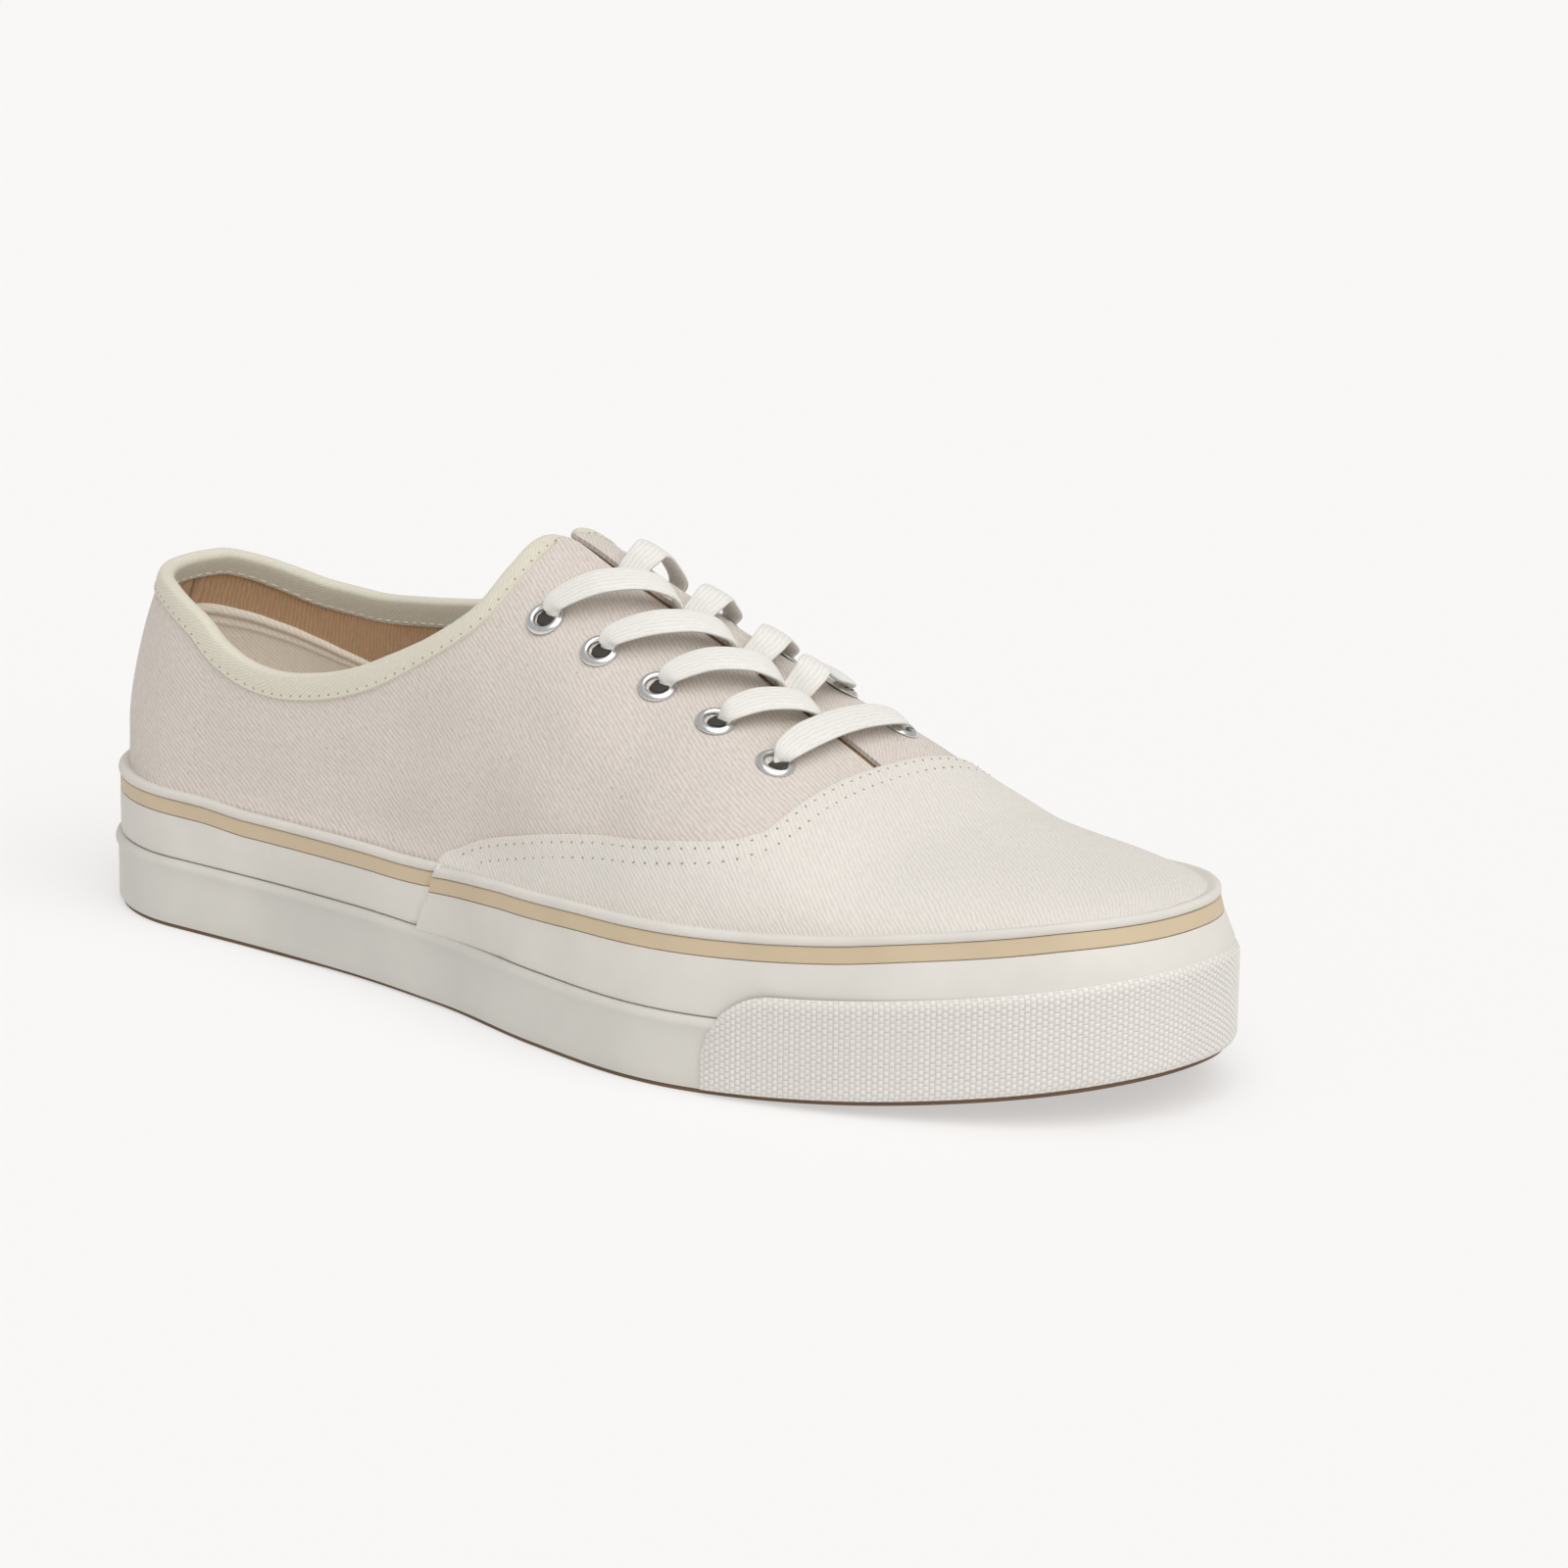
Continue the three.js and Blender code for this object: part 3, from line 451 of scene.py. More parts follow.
white_rubber = rubber("white_rubber", (0.67, 0.65, 0.60))
bead_rubber = rubber("bead_rubber", (0.72, 0.69, 0.635))
tan_rubber = rubber("tan_stripe", (0.635, 0.51, 0.345), 0.48)
# Near black brown: part the gum's own tone, part painted shade of the dark gap under the rubber wall.
gum_rubber = rubber("gum_rubber", (0.17, 0.105, 0.06), 0.6, 0.00006, 0.1)
thread = rubber("thread", (0.74, 0.70, 0.62), 0.85, 0.0)
# Dark brown: painted shade for the shade inside the needle holes.
needle_hole_shade = rubber("needle_hole_shade", (0.34, 0.29, 0.24), 0.9, 0.0)
# Near black: painted shade for the shaded inside of the eyelet holes.
painted_hole_shade = rubber("painted_hole_shade", (0.055, 0.05, 0.046), 0.9, 0.0)
metal = Finish("eyelet_metal", Metallic=1.0, Base_Color=rgb(0.72, 0.72, 0.71))
metal.rough(metal.noise(metal.place(), 900.0, 2.0) * 0.14 + 0.2)
metal = metal.material


# %% [markdown]
# The rubber bands go all the way round the foot. Each is a section, drawn as inset from the
# outline and height, carried round the outline. The tape's end laps over its start at the
# outer side of the waist, where it stands a little proud and then settles.

# %% Rubber bands
def ring(turns, inset):
    whole = np.mod(turns, 1)
    outer = whole < 0.5
    along = np.where(outer, whole * 2, 2 - whole * 2)
    x = inset + (SOLE - 2 * inset) * (1 - np.cos(np.pi * along)) / 2
    half, swing = outline(x, inset, inset, inset)
    return x, swing + np.where(outer, -half, half)


def turn_at(x):
    return math.acos(1 - 2 * x / SOLE) / (2 * math.pi)


LAP_AT, LAP_FADE, LAP_PROUD = 125.0, 26.0, 0.9
TAPE = {
    "at": [0, 0.16, 0.216, 0.372, 0.436, 0.497, 0.557, 0.61, 0.66, 0.74, 0.81, 0.87, 0.946, 1],
    "lift": [0.6, 0.35, -0.6, -0.65, 0.3, 0.95, 1.8, 2.7, 3.05, 3.4, 3.65, 4.1, 4.0, 3.0],
}


def tape_line(x, z):
    """How far the tape's upper lines rise, and how far they lean in, on their way to the toe."""
    high = np.clip((z - 18) / 8, 0, 1)
    toe = np.clip((x - 225) / 60, 0, 1)
    into = toe * (2.2 * np.clip((z - 22) / 9, 0, 1) - 1.4 * np.clip((26 - z) / 5, 0, 1))
    return column(TAPE, "lift", x / SOLE) * high, into, toe


def band(name, corners, steps=520, laps=False):
    """corners: inset, height and whether the corner steps out where the tape laps over itself."""
    turns = np.arange(steps + 1) / steps
    if laps:
        turns = np.sort(np.append(turns, turn_at(LAP_AT) + np.array([-0.0022, -0.0012, -0.0004, 0.0004])))
    x0, _ = ring(turns, 0.0)
    past = np.where(turns < 0.5, x0 - LAP_AT, -99)
    proud = LAP_PROUD * np.where((past >= 0) & (past < LAP_FADE), 1 - past / LAP_FADE, 0)
    gutter = 0.5 * np.exp(-(((past + 0.9) / 0.7) ** 2))
    lean = np.clip(1 - np.abs(past) / LAP_FADE, 0, 1) * 0.31 / (2 * SOLE)
    section = []
    for inset, z, at_lap in corners + corners[:1]:
        share = at_lap * laps
        lift, into, toe = tape_line(x0, z)
        into = (into + (inset > 4.8) * 2.5 * toe * (z > 20)) * laps
        x, y = ring(turns + lean * (z - 26) * share, inset + into + (gutter - proud) * share)
        section.append(np.stack([x, y, z + lift * laps + spring(x) - proud * share], -1))
    points = np.array(section)
    along = np.broadcast_to(turns * 700, points.shape[:2])
    around = length_along(points.swapaxes(0, 1)).T
    return grid_piece(name, points, np.stack([along, around], -1), closed=True)


def outward(piece):
    deselect()
    piece.select_set(True)
    bpy.context.view_layer.objects.active = piece
    bpy.ops.object.mode_set(mode="EDIT")
    bpy.ops.mesh.select_all(action="SELECT")
    bpy.ops.mesh.normals_make_consistent(inside=False)
    bpy.ops.object.mode_set(mode="OBJECT")


wall = band("rubber_wall", [
    (2.8, 1.0, 0), (2.8, 16.4, 0), (1.3, 16.5, 0), (0.8, 16.4, 0), (0.15, 15.9, 0), (-0.1, 15.2, 0),
    (-0.05, 14.6, 0), (0.25, 14.1, 0), (0.5, 13.4, 0), (0.55, 9, 0), (0.5, 4, 0), (0.5, 1.6, 0),
    (0.8, 1.05, 0),
])
outward(wall)
finish(wall, "white_rubber", white_rubber, "lower_wall", angle=40)

tape = band("rubber_tape", [
    (4.9, 16.62, 0), (4.9, 31.3, 0), (3.2, 31.8, 0), (2.6, 32.1, 1), (2.0, 32.2, 1), (1.4, 32.05, 1),
    (1.0, 31.65, 1),
    (0.85, 31.1, 1), (0.95, 30.55, 1), (1.25, 30.15, 1), (1.6, 30.05, 1), (2.2, 30.0, 1), (2.2, 26.3, 1),
    (1.35, 26.25, 1), (1.2, 26.0, 1), (1.2, 22, 1), (1.2, 18, 1), (1.3, 17.0, 1), (1.7, 16.62, 1),
], laps=True)
outward(tape)
finish(tape, "cream_rubber", bead_rubber, "foxing_tape", angle=40)

stripe = band("tan_stripe_band", [
    (2.0, 26.4, 1), (2.0, 29.95, 1), (1.5, 29.95, 1), (1.28, 29.75, 1), (1.25, 28, 1), (1.28, 26.6, 1),
    (1.5, 26.4, 1),
], laps=True)
outward(stripe)
finish(stripe, "tan_stripe", tan_rubber, "stripe", angle=40)

# %% [markdown]
# The toe bumper is a strip with a waffle face. Its small squares are raised in the mesh, so
# they catch the light as the real ones do; the grooves are also painted darker, as painted shade.
# The strip's rear corners are rounded.

# %% Toe bumper
WAFFLE_WIDE, WAFFLE_TALL = 1.2, 1.35
BUMPER_FROM, BUMPER_TOP, BUMPER_CORNER, BUMPER_FOOT = 212.0, 22.6, 16.0, 1.2


def close_ends(piece):
    """Fills the open ends of a tube."""
    deselect()
    piece.select_set(True)
    bpy.context.view_layer.objects.active = piece
    bpy.ops.object.mode_set(mode="EDIT")
    bpy.ops.mesh.select_all(action="DESELECT")
    bpy.ops.mesh.select_non_manifold()
    bpy.ops.mesh.edge_face_add()
    bpy.ops.object.mode_set(mode="OBJECT")
    outward(piece)


def toe_bumper(cols=1300, rows=58):
    start = turn_at(BUMPER_FROM)
    turns = np.linspace(start, 1 - start, cols)
    x0, _ = ring(turns, 0.0)
    past = np.clip(x0 - BUMPER_FROM, 0, BUMPER_CORNER)
    rise = np.sqrt(1 - (1 - past / BUMPER_CORNER) ** 2)
    top = BUMPER_TOP - BUMPER_CORNER * (1 - rise)
    z = BUMPER_FOOT + (top[None] - BUMPER_FOOT) * np.linspace(0, 1, rows)[:, None]
    run = length_along(np.stack(ring(turns, -1.0), -1))[None]
    across = run / WAFFLE_WIDE
    up = z / WAFFLE_TALL + 0.5 * np.floor(across)
    pads = [np.clip((np.abs(np.sin(np.pi * t)) - 0.3) / 0.4, 0, 1) for t in (across, up)]
    edge = np.minimum(np.minimum(z - BUMPER_FOOT, top[None] - z), np.minimum(run, run[0, -1] - run))
    face = 1 - np.exp(-np.clip(edge, 0, None) / 0.55)
    proud = 0.1 + face * (0.7 + 0.3 * pads[0] * pads[1] * np.clip((edge - 0.9) / 0.4, 0, 1))
    loop = []
    for height, out in [*zip(z, proud), (z[-1], -0.35), (z[0], -0.35), (z[0], proud[0])]:
        x, y = ring(turns, -out)
        loop.append(np.stack([x, y, height + spring(x)], -1))
    loop = np.array(loop)
    tall = np.concatenate([z, z[-1:], z[:1], z[:1]])
    uv = np.stack([np.broadcast_to(run, tall.shape), tall], -1)
    piece = grid_piece("toe_bumper_strip", loop, uv, closed=True)
    close_ends(piece)
    return piece


def waffle_rubber():
    f = Finish("bumper_rubber", Specular_IOR_Level=0.4, Roughness=0.6)
    uv, u, v = f.cloth()
    across = u / WAFFLE_WIDE
    up = v / WAFFLE_TALL + across.do("FLOOR") * 0.5
    pads = [f.ramp((t * math.pi).do("SINE").do("ABSOLUTE"), 0.15, 0.65) for t in (across, up)]
    grain = f.noise(f.place(), 1400.0, 3.0)
    wide = f.noise(f.place(), 30.0, 3.0)
    # The grooves between the squares are painted darker and the squares lighter: painted shade and
    # painted light on one rubber.
    tint = f.mix(pads[0] * pads[1], rgb(0.63, 0.60, 0.555), rgb(0.765, 0.745, 0.71))
    f.colour(f.mix(f.ramp(wide, 0.35, 0.7) * 0.25, tint, rgb(0.64, 0.62, 0.57)))
    return f.bump(grain, 0.00003).material


bumper = toe_bumper()
finish(bumper, "textured_rubber", waffle_rubber(), "toe_bumper", angle=35)

# %% [markdown]
# The outsole shows only as a thin gum edge, coloured near black brown, part gum tone and part
# painted shade of the gap under the wall, but its underside carries a tread: small blocks
# between slanting grooves, inside a plain border.

# %% Outsole
EDGE_IN = 1.35


def outsole_sheet():
    rows = 430
    share = (1 - np.cos(np.pi * np.linspace(0, 1, rows))) / 2
    across = np.linspace(-1, 1, 190)
    lines = []
    x0 = EDGE_IN + (SOLE - 2 * EDGE_IN) * share
    for inset, z in ((4.2, 3.0), (4.2, 0.98), (1.7, 0.96), (1.42, 0.85), (EDGE_IN, 0.25)):
        x = inset + (SOLE - 2 * inset) * share
        half, swing = outline(x, inset, inset, inset)
        lines.append(((x, swing - half, z + spring(x)), (x, swing + half, z + spring(x))))
    half, swing = outline(x0, EDGE_IN, EDGE_IN, EDGE_IN)
    y = swing[:, None] + half[:, None] * across[None]
    x = np.broadcast_to(x0[:, None], y.shape)
    rim = np.minimum((1 - np.abs(across))[None] * half[:, None], np.minimum(x, SOLE - x) * 0.7)
    a, b = (x + y * 0.6) / 7.0, (x - y * 0.6) / 7.0
    grooves = np.minimum(np.abs(np.mod(a, 1) - 0.5), np.abs(np.mod(b, 1) - 0.5)) * 2
    depth = 0.9 * np.clip((0.34 - grooves) / 0.2, 0, 1) * np.clip((rim - 6) / 1.0, 0, 1)
    arch = 0.5 * np.sin(np.pi * np.clip((x / SOLE - 0.24) / 0.26, 0, 1)) ** 2
    bottom = np.stack([x, y, depth + arch + spring(x)], -1)
    left = [np.stack(p[0], -1) for p in lines]
    right = [np.stack(p[1], -1) for p in reversed(lines)]
    loop = [*left, *bottom.swapaxes(0, 1), *right]
    return grid_piece("gum_outsole", np.array(loop + [loop[0]]), closed=True)


outsole = outsole_sheet()
outward(outsole)
finish(outsole, "gum_rubber", gum_rubber, "outsole", angle=30)

# %% [markdown]
# The quarters are one piece of canvas that runs from the throat round the heel to the throat
# again. Its upper edge follows the collar, rounds the flap's corner and goes down the throat.
# The grid's columns run from the rubber to points spaced evenly along that edge.

# %% The quarter's edge
COLLAR_LINE = {
    -1: curve_points([(at, outer) for at, outer, inner in COLLAR], 500),
    1: curve_points([(at, inner) for at, outer, inner in COLLAR], 500),
}
CORNER_X, CORNER = 125.8, 5.0
SLOT_END = 221.0
STEEP_X = 113.0  # from here on the collar climbs so fast that its own points are used


def slot_gap(x):
    x = np.asarray(x, float)
    return 1.0 + 0.6 * np.clip((x - 128) / 22, 0, 1) - 0.2 * np.clip((x - 160) / 55, 0, 1)


def angle_where(x, below, out=0.0):
    """Angle on the outer half at which below(point) turns false."""
    low, high = np.full(np.shape(x), 0.003), np.full(np.shape(x), math.pi / 2)
    for _ in range(34):
        half = (low + high) / 2
        under = below(form(x, half, out))
        low, high = np.where(under, half, low), np.where(under, high, half)
    return (low + high) / 2


def quarter_edge(sign, out=0.0):
    """The edge from the middle of the heel to the foot of the throat, as x and angle."""
    collar = COLLAR_LINE[sign]

    def under_collar(p):
        return p[..., 2] < np.interp(p[..., 0], collar[:, 0], collar[:, 1])
    x1 = 2.2 - out + (STEEP_X - 2.2 + out) * (1 - np.cos(np.linspace(0, 1, 130) * math.pi / 2))
    a1 = angle_where(x1, under_collar, out)
    line = collar[(collar[:, 0] > STEEP_X + 0.5) & (collar[:, 0] < CORNER_X)]
    a2 = angle_where(line[:, 0], lambda p: p[..., 2] < line[:, 1], out)
    turn = np.linspace(0, math.pi / 2, 14)
    x3 = CORNER_X + CORNER * (1 - np.cos(turn))
    gap3 = slot_gap(x3) + CORNER * (1 - np.sin(turn))
    x4 = np.linspace(CORNER_X + CORNER + 1, SLOT_END, 80)
    xs = np.concatenate([x3, x4])
    ys = middle(xs) + sign * np.concatenate([gap3, slot_gap(x4)])
    a34 = angle_at_y(xs, ys, out)
    if sign > 0:
        a1, a2 = math.pi - a1, math.pi - a2
    stop = a34[0]
    keep = (a2 < stop) if sign < 0 else (a2 > stop)
    x = np.concatenate([x1, line[:, 0][keep], xs])
    angle = np.concatenate([a1, a2[keep], a34])
    run = length_along(form(x, angle, out))
    even = np.linspace(0, run[-1], 250)
    return np.interp(even, run, x), np.interp(even, run, angle), even


def folds(points, sign):
    """Soft hollows and ridges of worn cloth, in millimetres outwards."""
    x, z = points[..., 0], points[..., 2]
    total = 0.16 * np.sin(x / 9.5 + z / 13) * np.sin(z / 8.0 - x / 31)
    marks = [
        (112, 58, 13, 7, 0.5, -1.0), (126, 50, 16, 6, 0.6, 0.7), (96, 46, 18, 6, 0.3, -0.7),
        (150, 64, 22, 7, -0.5, -0.5), (40, 52, 14, 10, 0.2, -0.5), (178, 58, 20, 6, -0.4, 0.4),
    ]
    for cx, cz, rx, rz, slope, depth in marks:
        dx, dz = x - cx, z - cz - slope * (x - cx)
        total = total + depth * np.exp(-((dx / rx) ** 2) - (dz / rz) ** 2)
    return total * np.clip((z - 36) / 8, 0, 1)


def foot_of(x_edge, run):
    start = np.interp(72, x_edge, run)
    spread = 72 + (236 - 72) * np.clip((run - start) / (run[-1] - start), 0, 1)
    return np.where(run < start, x_edge, spread)


def quarter_sheet(out, rows=74, low=29.0):
    """Rows of points, from the edge down to the rubber, for both sides round the heel."""
    sides_points, sides_uv = [], []
    for sign in (-1, 1):
        x_edge, a_edge, run = quarter_edge(sign, out)
        x_foot = foot_of(x_edge, run)
        share = np.linspace(1, 0, rows)[:, None]
        x = x_foot + (x_edge - x_foot) * share
        base = 0.0 if sign < 0 else math.pi
        angle = base + (a_edge - base) * share
        points = form(x, angle, out)
        points = points + normal_at(x, angle, out) * folds(points, sign)[..., None]
        skirt = points[-1:].copy()
        skirt[..., 2] = low + spring(skirt[..., 0])
        points = np.concatenate([points, skirt])
        x, angle = np.concatenate([x, x[-1:]]), np.concatenate([angle, angle[-1:]])
        uv = cloth_map(x, angle, sign)
        if sign < 0:
            points, uv = points[:, ::-1], uv[:, ::-1]
        else:
            points, uv = points[:, 1:], uv[:, 1:]
        sides_points.append(points)
        sides_uv.append(uv)
    return np.concatenate(sides_points, 1), np.concatenate(sides_uv, 1)


XS = np.linspace(2.2, 290.6, 240)
AS = np.linspace(0.0, math.pi / 2, 120)
FOOT_RUN = length_along(form(XS, np.full(240, 0.001)))
RISE_RUN = length_along(form(XS[:, None], AS[None]))


def cloth_map(x, angle, sign):
    """Place on the cloth in millimetres: along the foot, and up from the rubber."""
    a = np.where(angle > math.pi / 2, math.pi - angle, angle)
    i = np.clip((x - XS[0]) / (XS[1] - XS[0]), 0, 238.999)
    j = np.clip(a / (AS[1] - AS[0]), 0, 118.999)
    i0, j0 = i.astype(int), j.astype(int)
    fi, fj = i - i0, j - j0
    up = (RISE_RUN[i0, j0] * (1 - fi) * (1 - fj) + RISE_RUN[i0 + 1, j0] * fi * (1 - fj)
          + RISE_RUN[i0, j0 + 1] * (1 - fi) * fj + RISE_RUN[i0 + 1, j0 + 1] * fi * fj)
    return np.stack([-sign * np.interp(x, XS, FOOT_RUN), up], -1)


# %% Quarters
points, uv = quarter_sheet(0.0)
quarters = grid_piece("canvas_quarters", points, uv)
outward(quarters)
apply(quarters, "SOLIDIFY", thickness=0.0011, offset=-1.0)
finish(quarters, "canvas", canvas, "upper", angle=50)

# %% [markdown]
# The vamp covers the front of the foot. Its edge is folded under, so it stands about a
# millimetre proud of the quarters, from the rubber up to the foot of the throat.

# %% Vamp
VAMP_LINE = curve_points(VAMP, 400)
VAMP_LINE = VAMP_LINE[VAMP_LINE[:, 1] > 31.9]


def vamp_edge(angle):
    top = 32 + spring(VAMP_LINE[:, 0]) + 60 * column(FORM, "rise", VAMP_LINE[:, 0] / SOLE)
    keep = VAMP_LINE[:, 1] < top - 0.2
    line = VAMP_LINE[keep]
    a = angle_where(line[:, 0], lambda p: p[..., 2] < line[:, 1])
    mirrored = np.minimum(angle, math.pi - angle)
    return np.interp(mirrored, a, line[:, 0])


def vamp_sheet(columns=301):
    """The columns start evenly along the seam, and fan out to the rubber round the toe."""
    fine = np.linspace(0, math.pi, 1600)
    seam = vamp_edge(fine)
    run = length_along(form(seam, fine))
    even = np.linspace(0, run[-1], columns)
    edge, start = np.interp(even, run, seam), np.interp(even, run, fine)
    far = np.linspace(0, math.pi, columns)
    folded = [(0.0, -0.1), (0.0, 0.5), (0.3, 0.75), (0.7, 0.85), (1.5, 0.85)]
    rows = [(edge + step, start, np.full(columns, out)) for step, out in folded]
    end = SOLE - 5.4 + 0.85
    for w in np.linspace(0, 1, 110)[1:]:
        x = edge + 1.5 + (end - edge - 1.5) * (1 - (1 - w) ** 1.7)
        rows.append((x, start + (far - start) * w * w * (3 - 2 * w), np.full(columns, 0.85)))
    x, a, out = [np.array([row[k] for row in rows]) for k in range(3)]
    points = form(x, a, out)
    puckers = 0.10 * np.sin(x / 5.5 + 3 * a) * np.sin(a * 9 + x / 17)
    points = points + normal_at(x, a, 0.8) * (puckers * np.clip((x - edge) / 6, 0, 1))[..., None]
    along, up = np.moveaxis(cloth_map(x, a, -1), -1, 0)
    side = (np.interp(x, XS, RISE_RUN[:, -1]) - up) * np.sign(a - math.pi / 2)
    lows = []
    for col in (0, -1):
        low = points[:, col].copy()
        low[:, 2] = 29 + spring(low[:, 0])
        lows.append(low[:, None])
    points = np.concatenate([lows[0], points, lows[1]], 1)
    along = np.concatenate([along[:, :1], along, along[:, -1:]], 1)
    side = np.concatenate([side[:, :1] - 3, side, side[:, -1:] + 3], 1)
    return points, np.stack([along, side], -1)


points, uv = vamp_sheet()
vamp = grid_piece("canvas_vamp", points, uv)
outward(vamp)
finish(vamp, "canvas", vamp_canvas, "upper", angle=50)

# %% [markdown]
# Trim has to sit on the cloth exactly, at a set distance from an edge. This helper steps off
# the edge and then slides each point back to the nearest place on the last.

# %% Finding a place on the last
def nearest(points, x, angle, out=0.0):
    for _ in range(7):
        here = form(x, angle, out)
        along = (form(x + 0.05, angle, out) - form(x - 0.05, angle, out)) / 0.1
        around = (form(x, angle + 0.002, out) - form(x, angle - 0.002, out)) / 0.004
        rest = points - here
        a, b, c = (along**2).sum(-1), (along * around).sum(-1), (around**2).sum(-1)
        p, q = (along * rest).sum(-1), (around * rest).sum(-1)
        size = np.maximum(a * c - b * b, 1e-9)
        x = np.clip(x + np.clip((p * c - q * b) / size, -5, 5), 2.25, 290.5)
        angle = np.clip(angle + np.clip((q * a - p * b) / size, -0.3, 0.3), 0.002, math.pi - 0.002)
    return x, angle


def whole_edge():
    """The collar's edge from one flap round the heel to the other, as x and angle."""
    outer, inner = [
        (x[:stop], angle[:stop]) for x, angle, run in (quarter_edge(-1), quarter_edge(1))
        for stop in [np.searchsorted(x, CORNER_X + 1.6)]
    ]
    x = np.concatenate([outer[0][::-1], inner[0][1:]])
    angle = np.concatenate([outer[1][::-1], inner[1][1:]])
    run = length_along(form(x, angle))
    even = np.linspace(0, run[-1], int(run[-1] / 0.9))
    side = np.interp(even, run, np.arange(len(x)))
    low = np.clip(side.astype(int), 0, len(x) - 2)
    t = side - low
    edge = form(x, angle)
    return edge[low] * (1 - t[:, None]) + edge[low + 1] * t[:, None], x[low], angle[low], even


EDGE, EDGE_X, EDGE_A, EDGE_RUN = whole_edge()


def frame_along(line, x, angle):
    """Directions at each point of a line on the last: along it, off the cloth, into the cloth."""
    ahead = np.gradient(line, axis=0)
    ahead /= np.linalg.norm(ahead, axis=1, keepdims=True)
    off = smooth(normal_at(x, angle), 3)
    into = np.cross(ahead, off)
    into /= np.linalg.norm(into, axis=1, keepdims=True)
    return ahead, off, into


AHEAD, OFF, INTO = frame_along(EDGE, EDGE_X, EDGE_A)
if INTO[len(INTO) // 2][2] > 0:
    INTO = -INTO


def from_collar(distance, out=0.0):
    """Points at a distance below the collar's edge, and the way off the cloth there."""
    x, angle = nearest(EDGE + INTO * np.reshape(distance, (-1, 1)), EDGE_X, EDGE_A)
    normal = normal_at(x, angle)
    return form(x, angle) + normal * np.reshape(out, (-1, 1)), normal


# %% [markdown]
# The collar is bound with a cotton tape folded over the edge, about 4 mm deep on the outside,
# and stitched near its lower edge.

# %% Collar binding
def binding():
    from_end = np.minimum(EDGE_RUN, EDGE_RUN[-1] - EDGE_RUN)
    full = 0.25 + 0.75 * np.sqrt(np.clip(from_end / 7, 0, 1))
    section = []
    outside = ((4.2, -0.1), (4.15, 0.45), (3.95, 0.75), (3.2, 0.72), (2.6, 0.85), (1.5, 1.0), (0.6, 1.02))
    for distance, out in outside:
        section.append(from_collar(distance * full, out * full)[0])
    raised = 0.8 * np.clip((76 - EDGE[:, 2:]) / 6, 0, 1)
    centre, wide = EDGE - OFF * 0.9 - INTO * raised, full[:, None]
    for turn in np.linspace(0, math.pi, 9):
        section.append(centre + OFF * wide * 1.9 * math.cos(turn) - INTO * wide * 1.25 * math.sin(turn))
    for distance, out in ((1.0, -2.85), (3.0, -2.8), (4.6, -2.7), (5.0, -1.9), (4.8, -1.0)):
        section.append(from_collar(distance * full, out * (0.6 + 0.4 * full))[0])
    section.append(section[0])
    points = np.array(section)
    around = length_along(points.swapaxes(0, 1)).T
    uv = np.stack([np.broadcast_to(EDGE_RUN, around.shape), around], -1)
    piece = grid_piece("collar_tape", points, uv, closed=True)
    close_ends(piece)
    return piece


tape_binding = binding()
finish(tape_binding, "binding_tape", tape_cloth, "collar_binding", angle=50)


# %% [markdown]
# Stitches repeat by the hundred, so one small bead is made and copied along each line, with
# every copy's points written into one mesh.

# %% Stitches
def bead_shape(long, wide, tall):
    deselect()
    bpy.ops.mesh.primitive_uv_sphere_add(segments=8, ring_count=5, radius=1)
    ball = bpy.context.object
    verts = np.array([v.co[:] for v in ball.data.vertices]) * [long / 2, wide / 2, tall / 2]
    faces = [tuple(p.vertices) for p in ball.data.polygons]
    bpy.data.objects.remove(ball)
    return verts, faces


def row_of_beads(name, rows, shape, material, slot):
    verts, faces = [], []
    unit, sides = shape
    for line, off, pitch in rows:
        run = length_along(line)
        spots = np.arange(pitch / 2, run[-1], pitch)
        centre = np.stack([np.interp(spots, run, line[:, k]) for k in range(3)], 1)
        up = np.stack([np.interp(spots, run, off[:, k]) for k in range(3)], 1)
        ahead = np.stack([np.interp(spots + 0.3, run, line[:, k]) for k in range(3)], 1) - centre
        ahead /= np.maximum(np.linalg.norm(ahead, axis=1, keepdims=True), 1e-9)
        side = np.cross(up, ahead)
        for c, t, s, n in zip(centre, ahead, side, up):
            start = len(verts)
            verts.extend(c + unit[:, :1] * t + unit[:, 1:2] * s + unit[:, 2:] * n)
            faces.extend(tuple(start + i for i in f) for f in sides)
    mesh = bpy.data.meshes.new(name)
    mesh.from_pydata(place(np.array(verts)).tolist(), [], faces)
    piece = bpy.data.objects.new(name, mesh)
    bpy.context.collection.objects.link(piece)
    deselect()
    piece.select_set(True)
    bpy.context.view_layer.objects.active = piece
    bpy.ops.object.shade_smooth()
    outward(piece)
    finish(piece, slot, material)


def seam_row(distance, out):
    """A line on the vamp at a distance from its folded edge."""
    angle = np.linspace(0.004, math.pi - 0.004, 1500)
    x = vamp_edge(angle)
    line = form(x, angle)
    run = length_along(line)
    even = np.linspace(0, run[-1], 600)
    x, angle = np.interp(even, run, x), np.interp(even, run, angle)
    line = form(x, angle)
    ahead = np.gradient(line, axis=0)
    ahead = smooth(ahead / np.linalg.norm(ahead, axis=1, keepdims=True), 20)
    off = normal_at(x, angle)
    into = np.cross(off, ahead)
    into *= np.sign(into[300, 0])
    x, angle = nearest(line + into * distance, x, angle)
    points = form(x, angle, 0.85) + normal_at(x, angle) * out
    keep = points[:, 2] > 34.5 + spring(points[:, 0])
    return points[keep], normal_at(x, angle)[keep]


def throat_row(sign, distance, out):
    """A line on a flap at a distance from the throat's edge."""
    x = np.linspace(CORNER_X + 6, 214, 200)
    away = distance - (distance - 4.5) * np.clip((x - 140) / 70, 0, 1)
    angle = angle_at_y(x, middle(x) + sign * (slot_gap(x) + away))
    return form(x, angle) + normal_at(x, angle) * out, normal_at(x, angle)
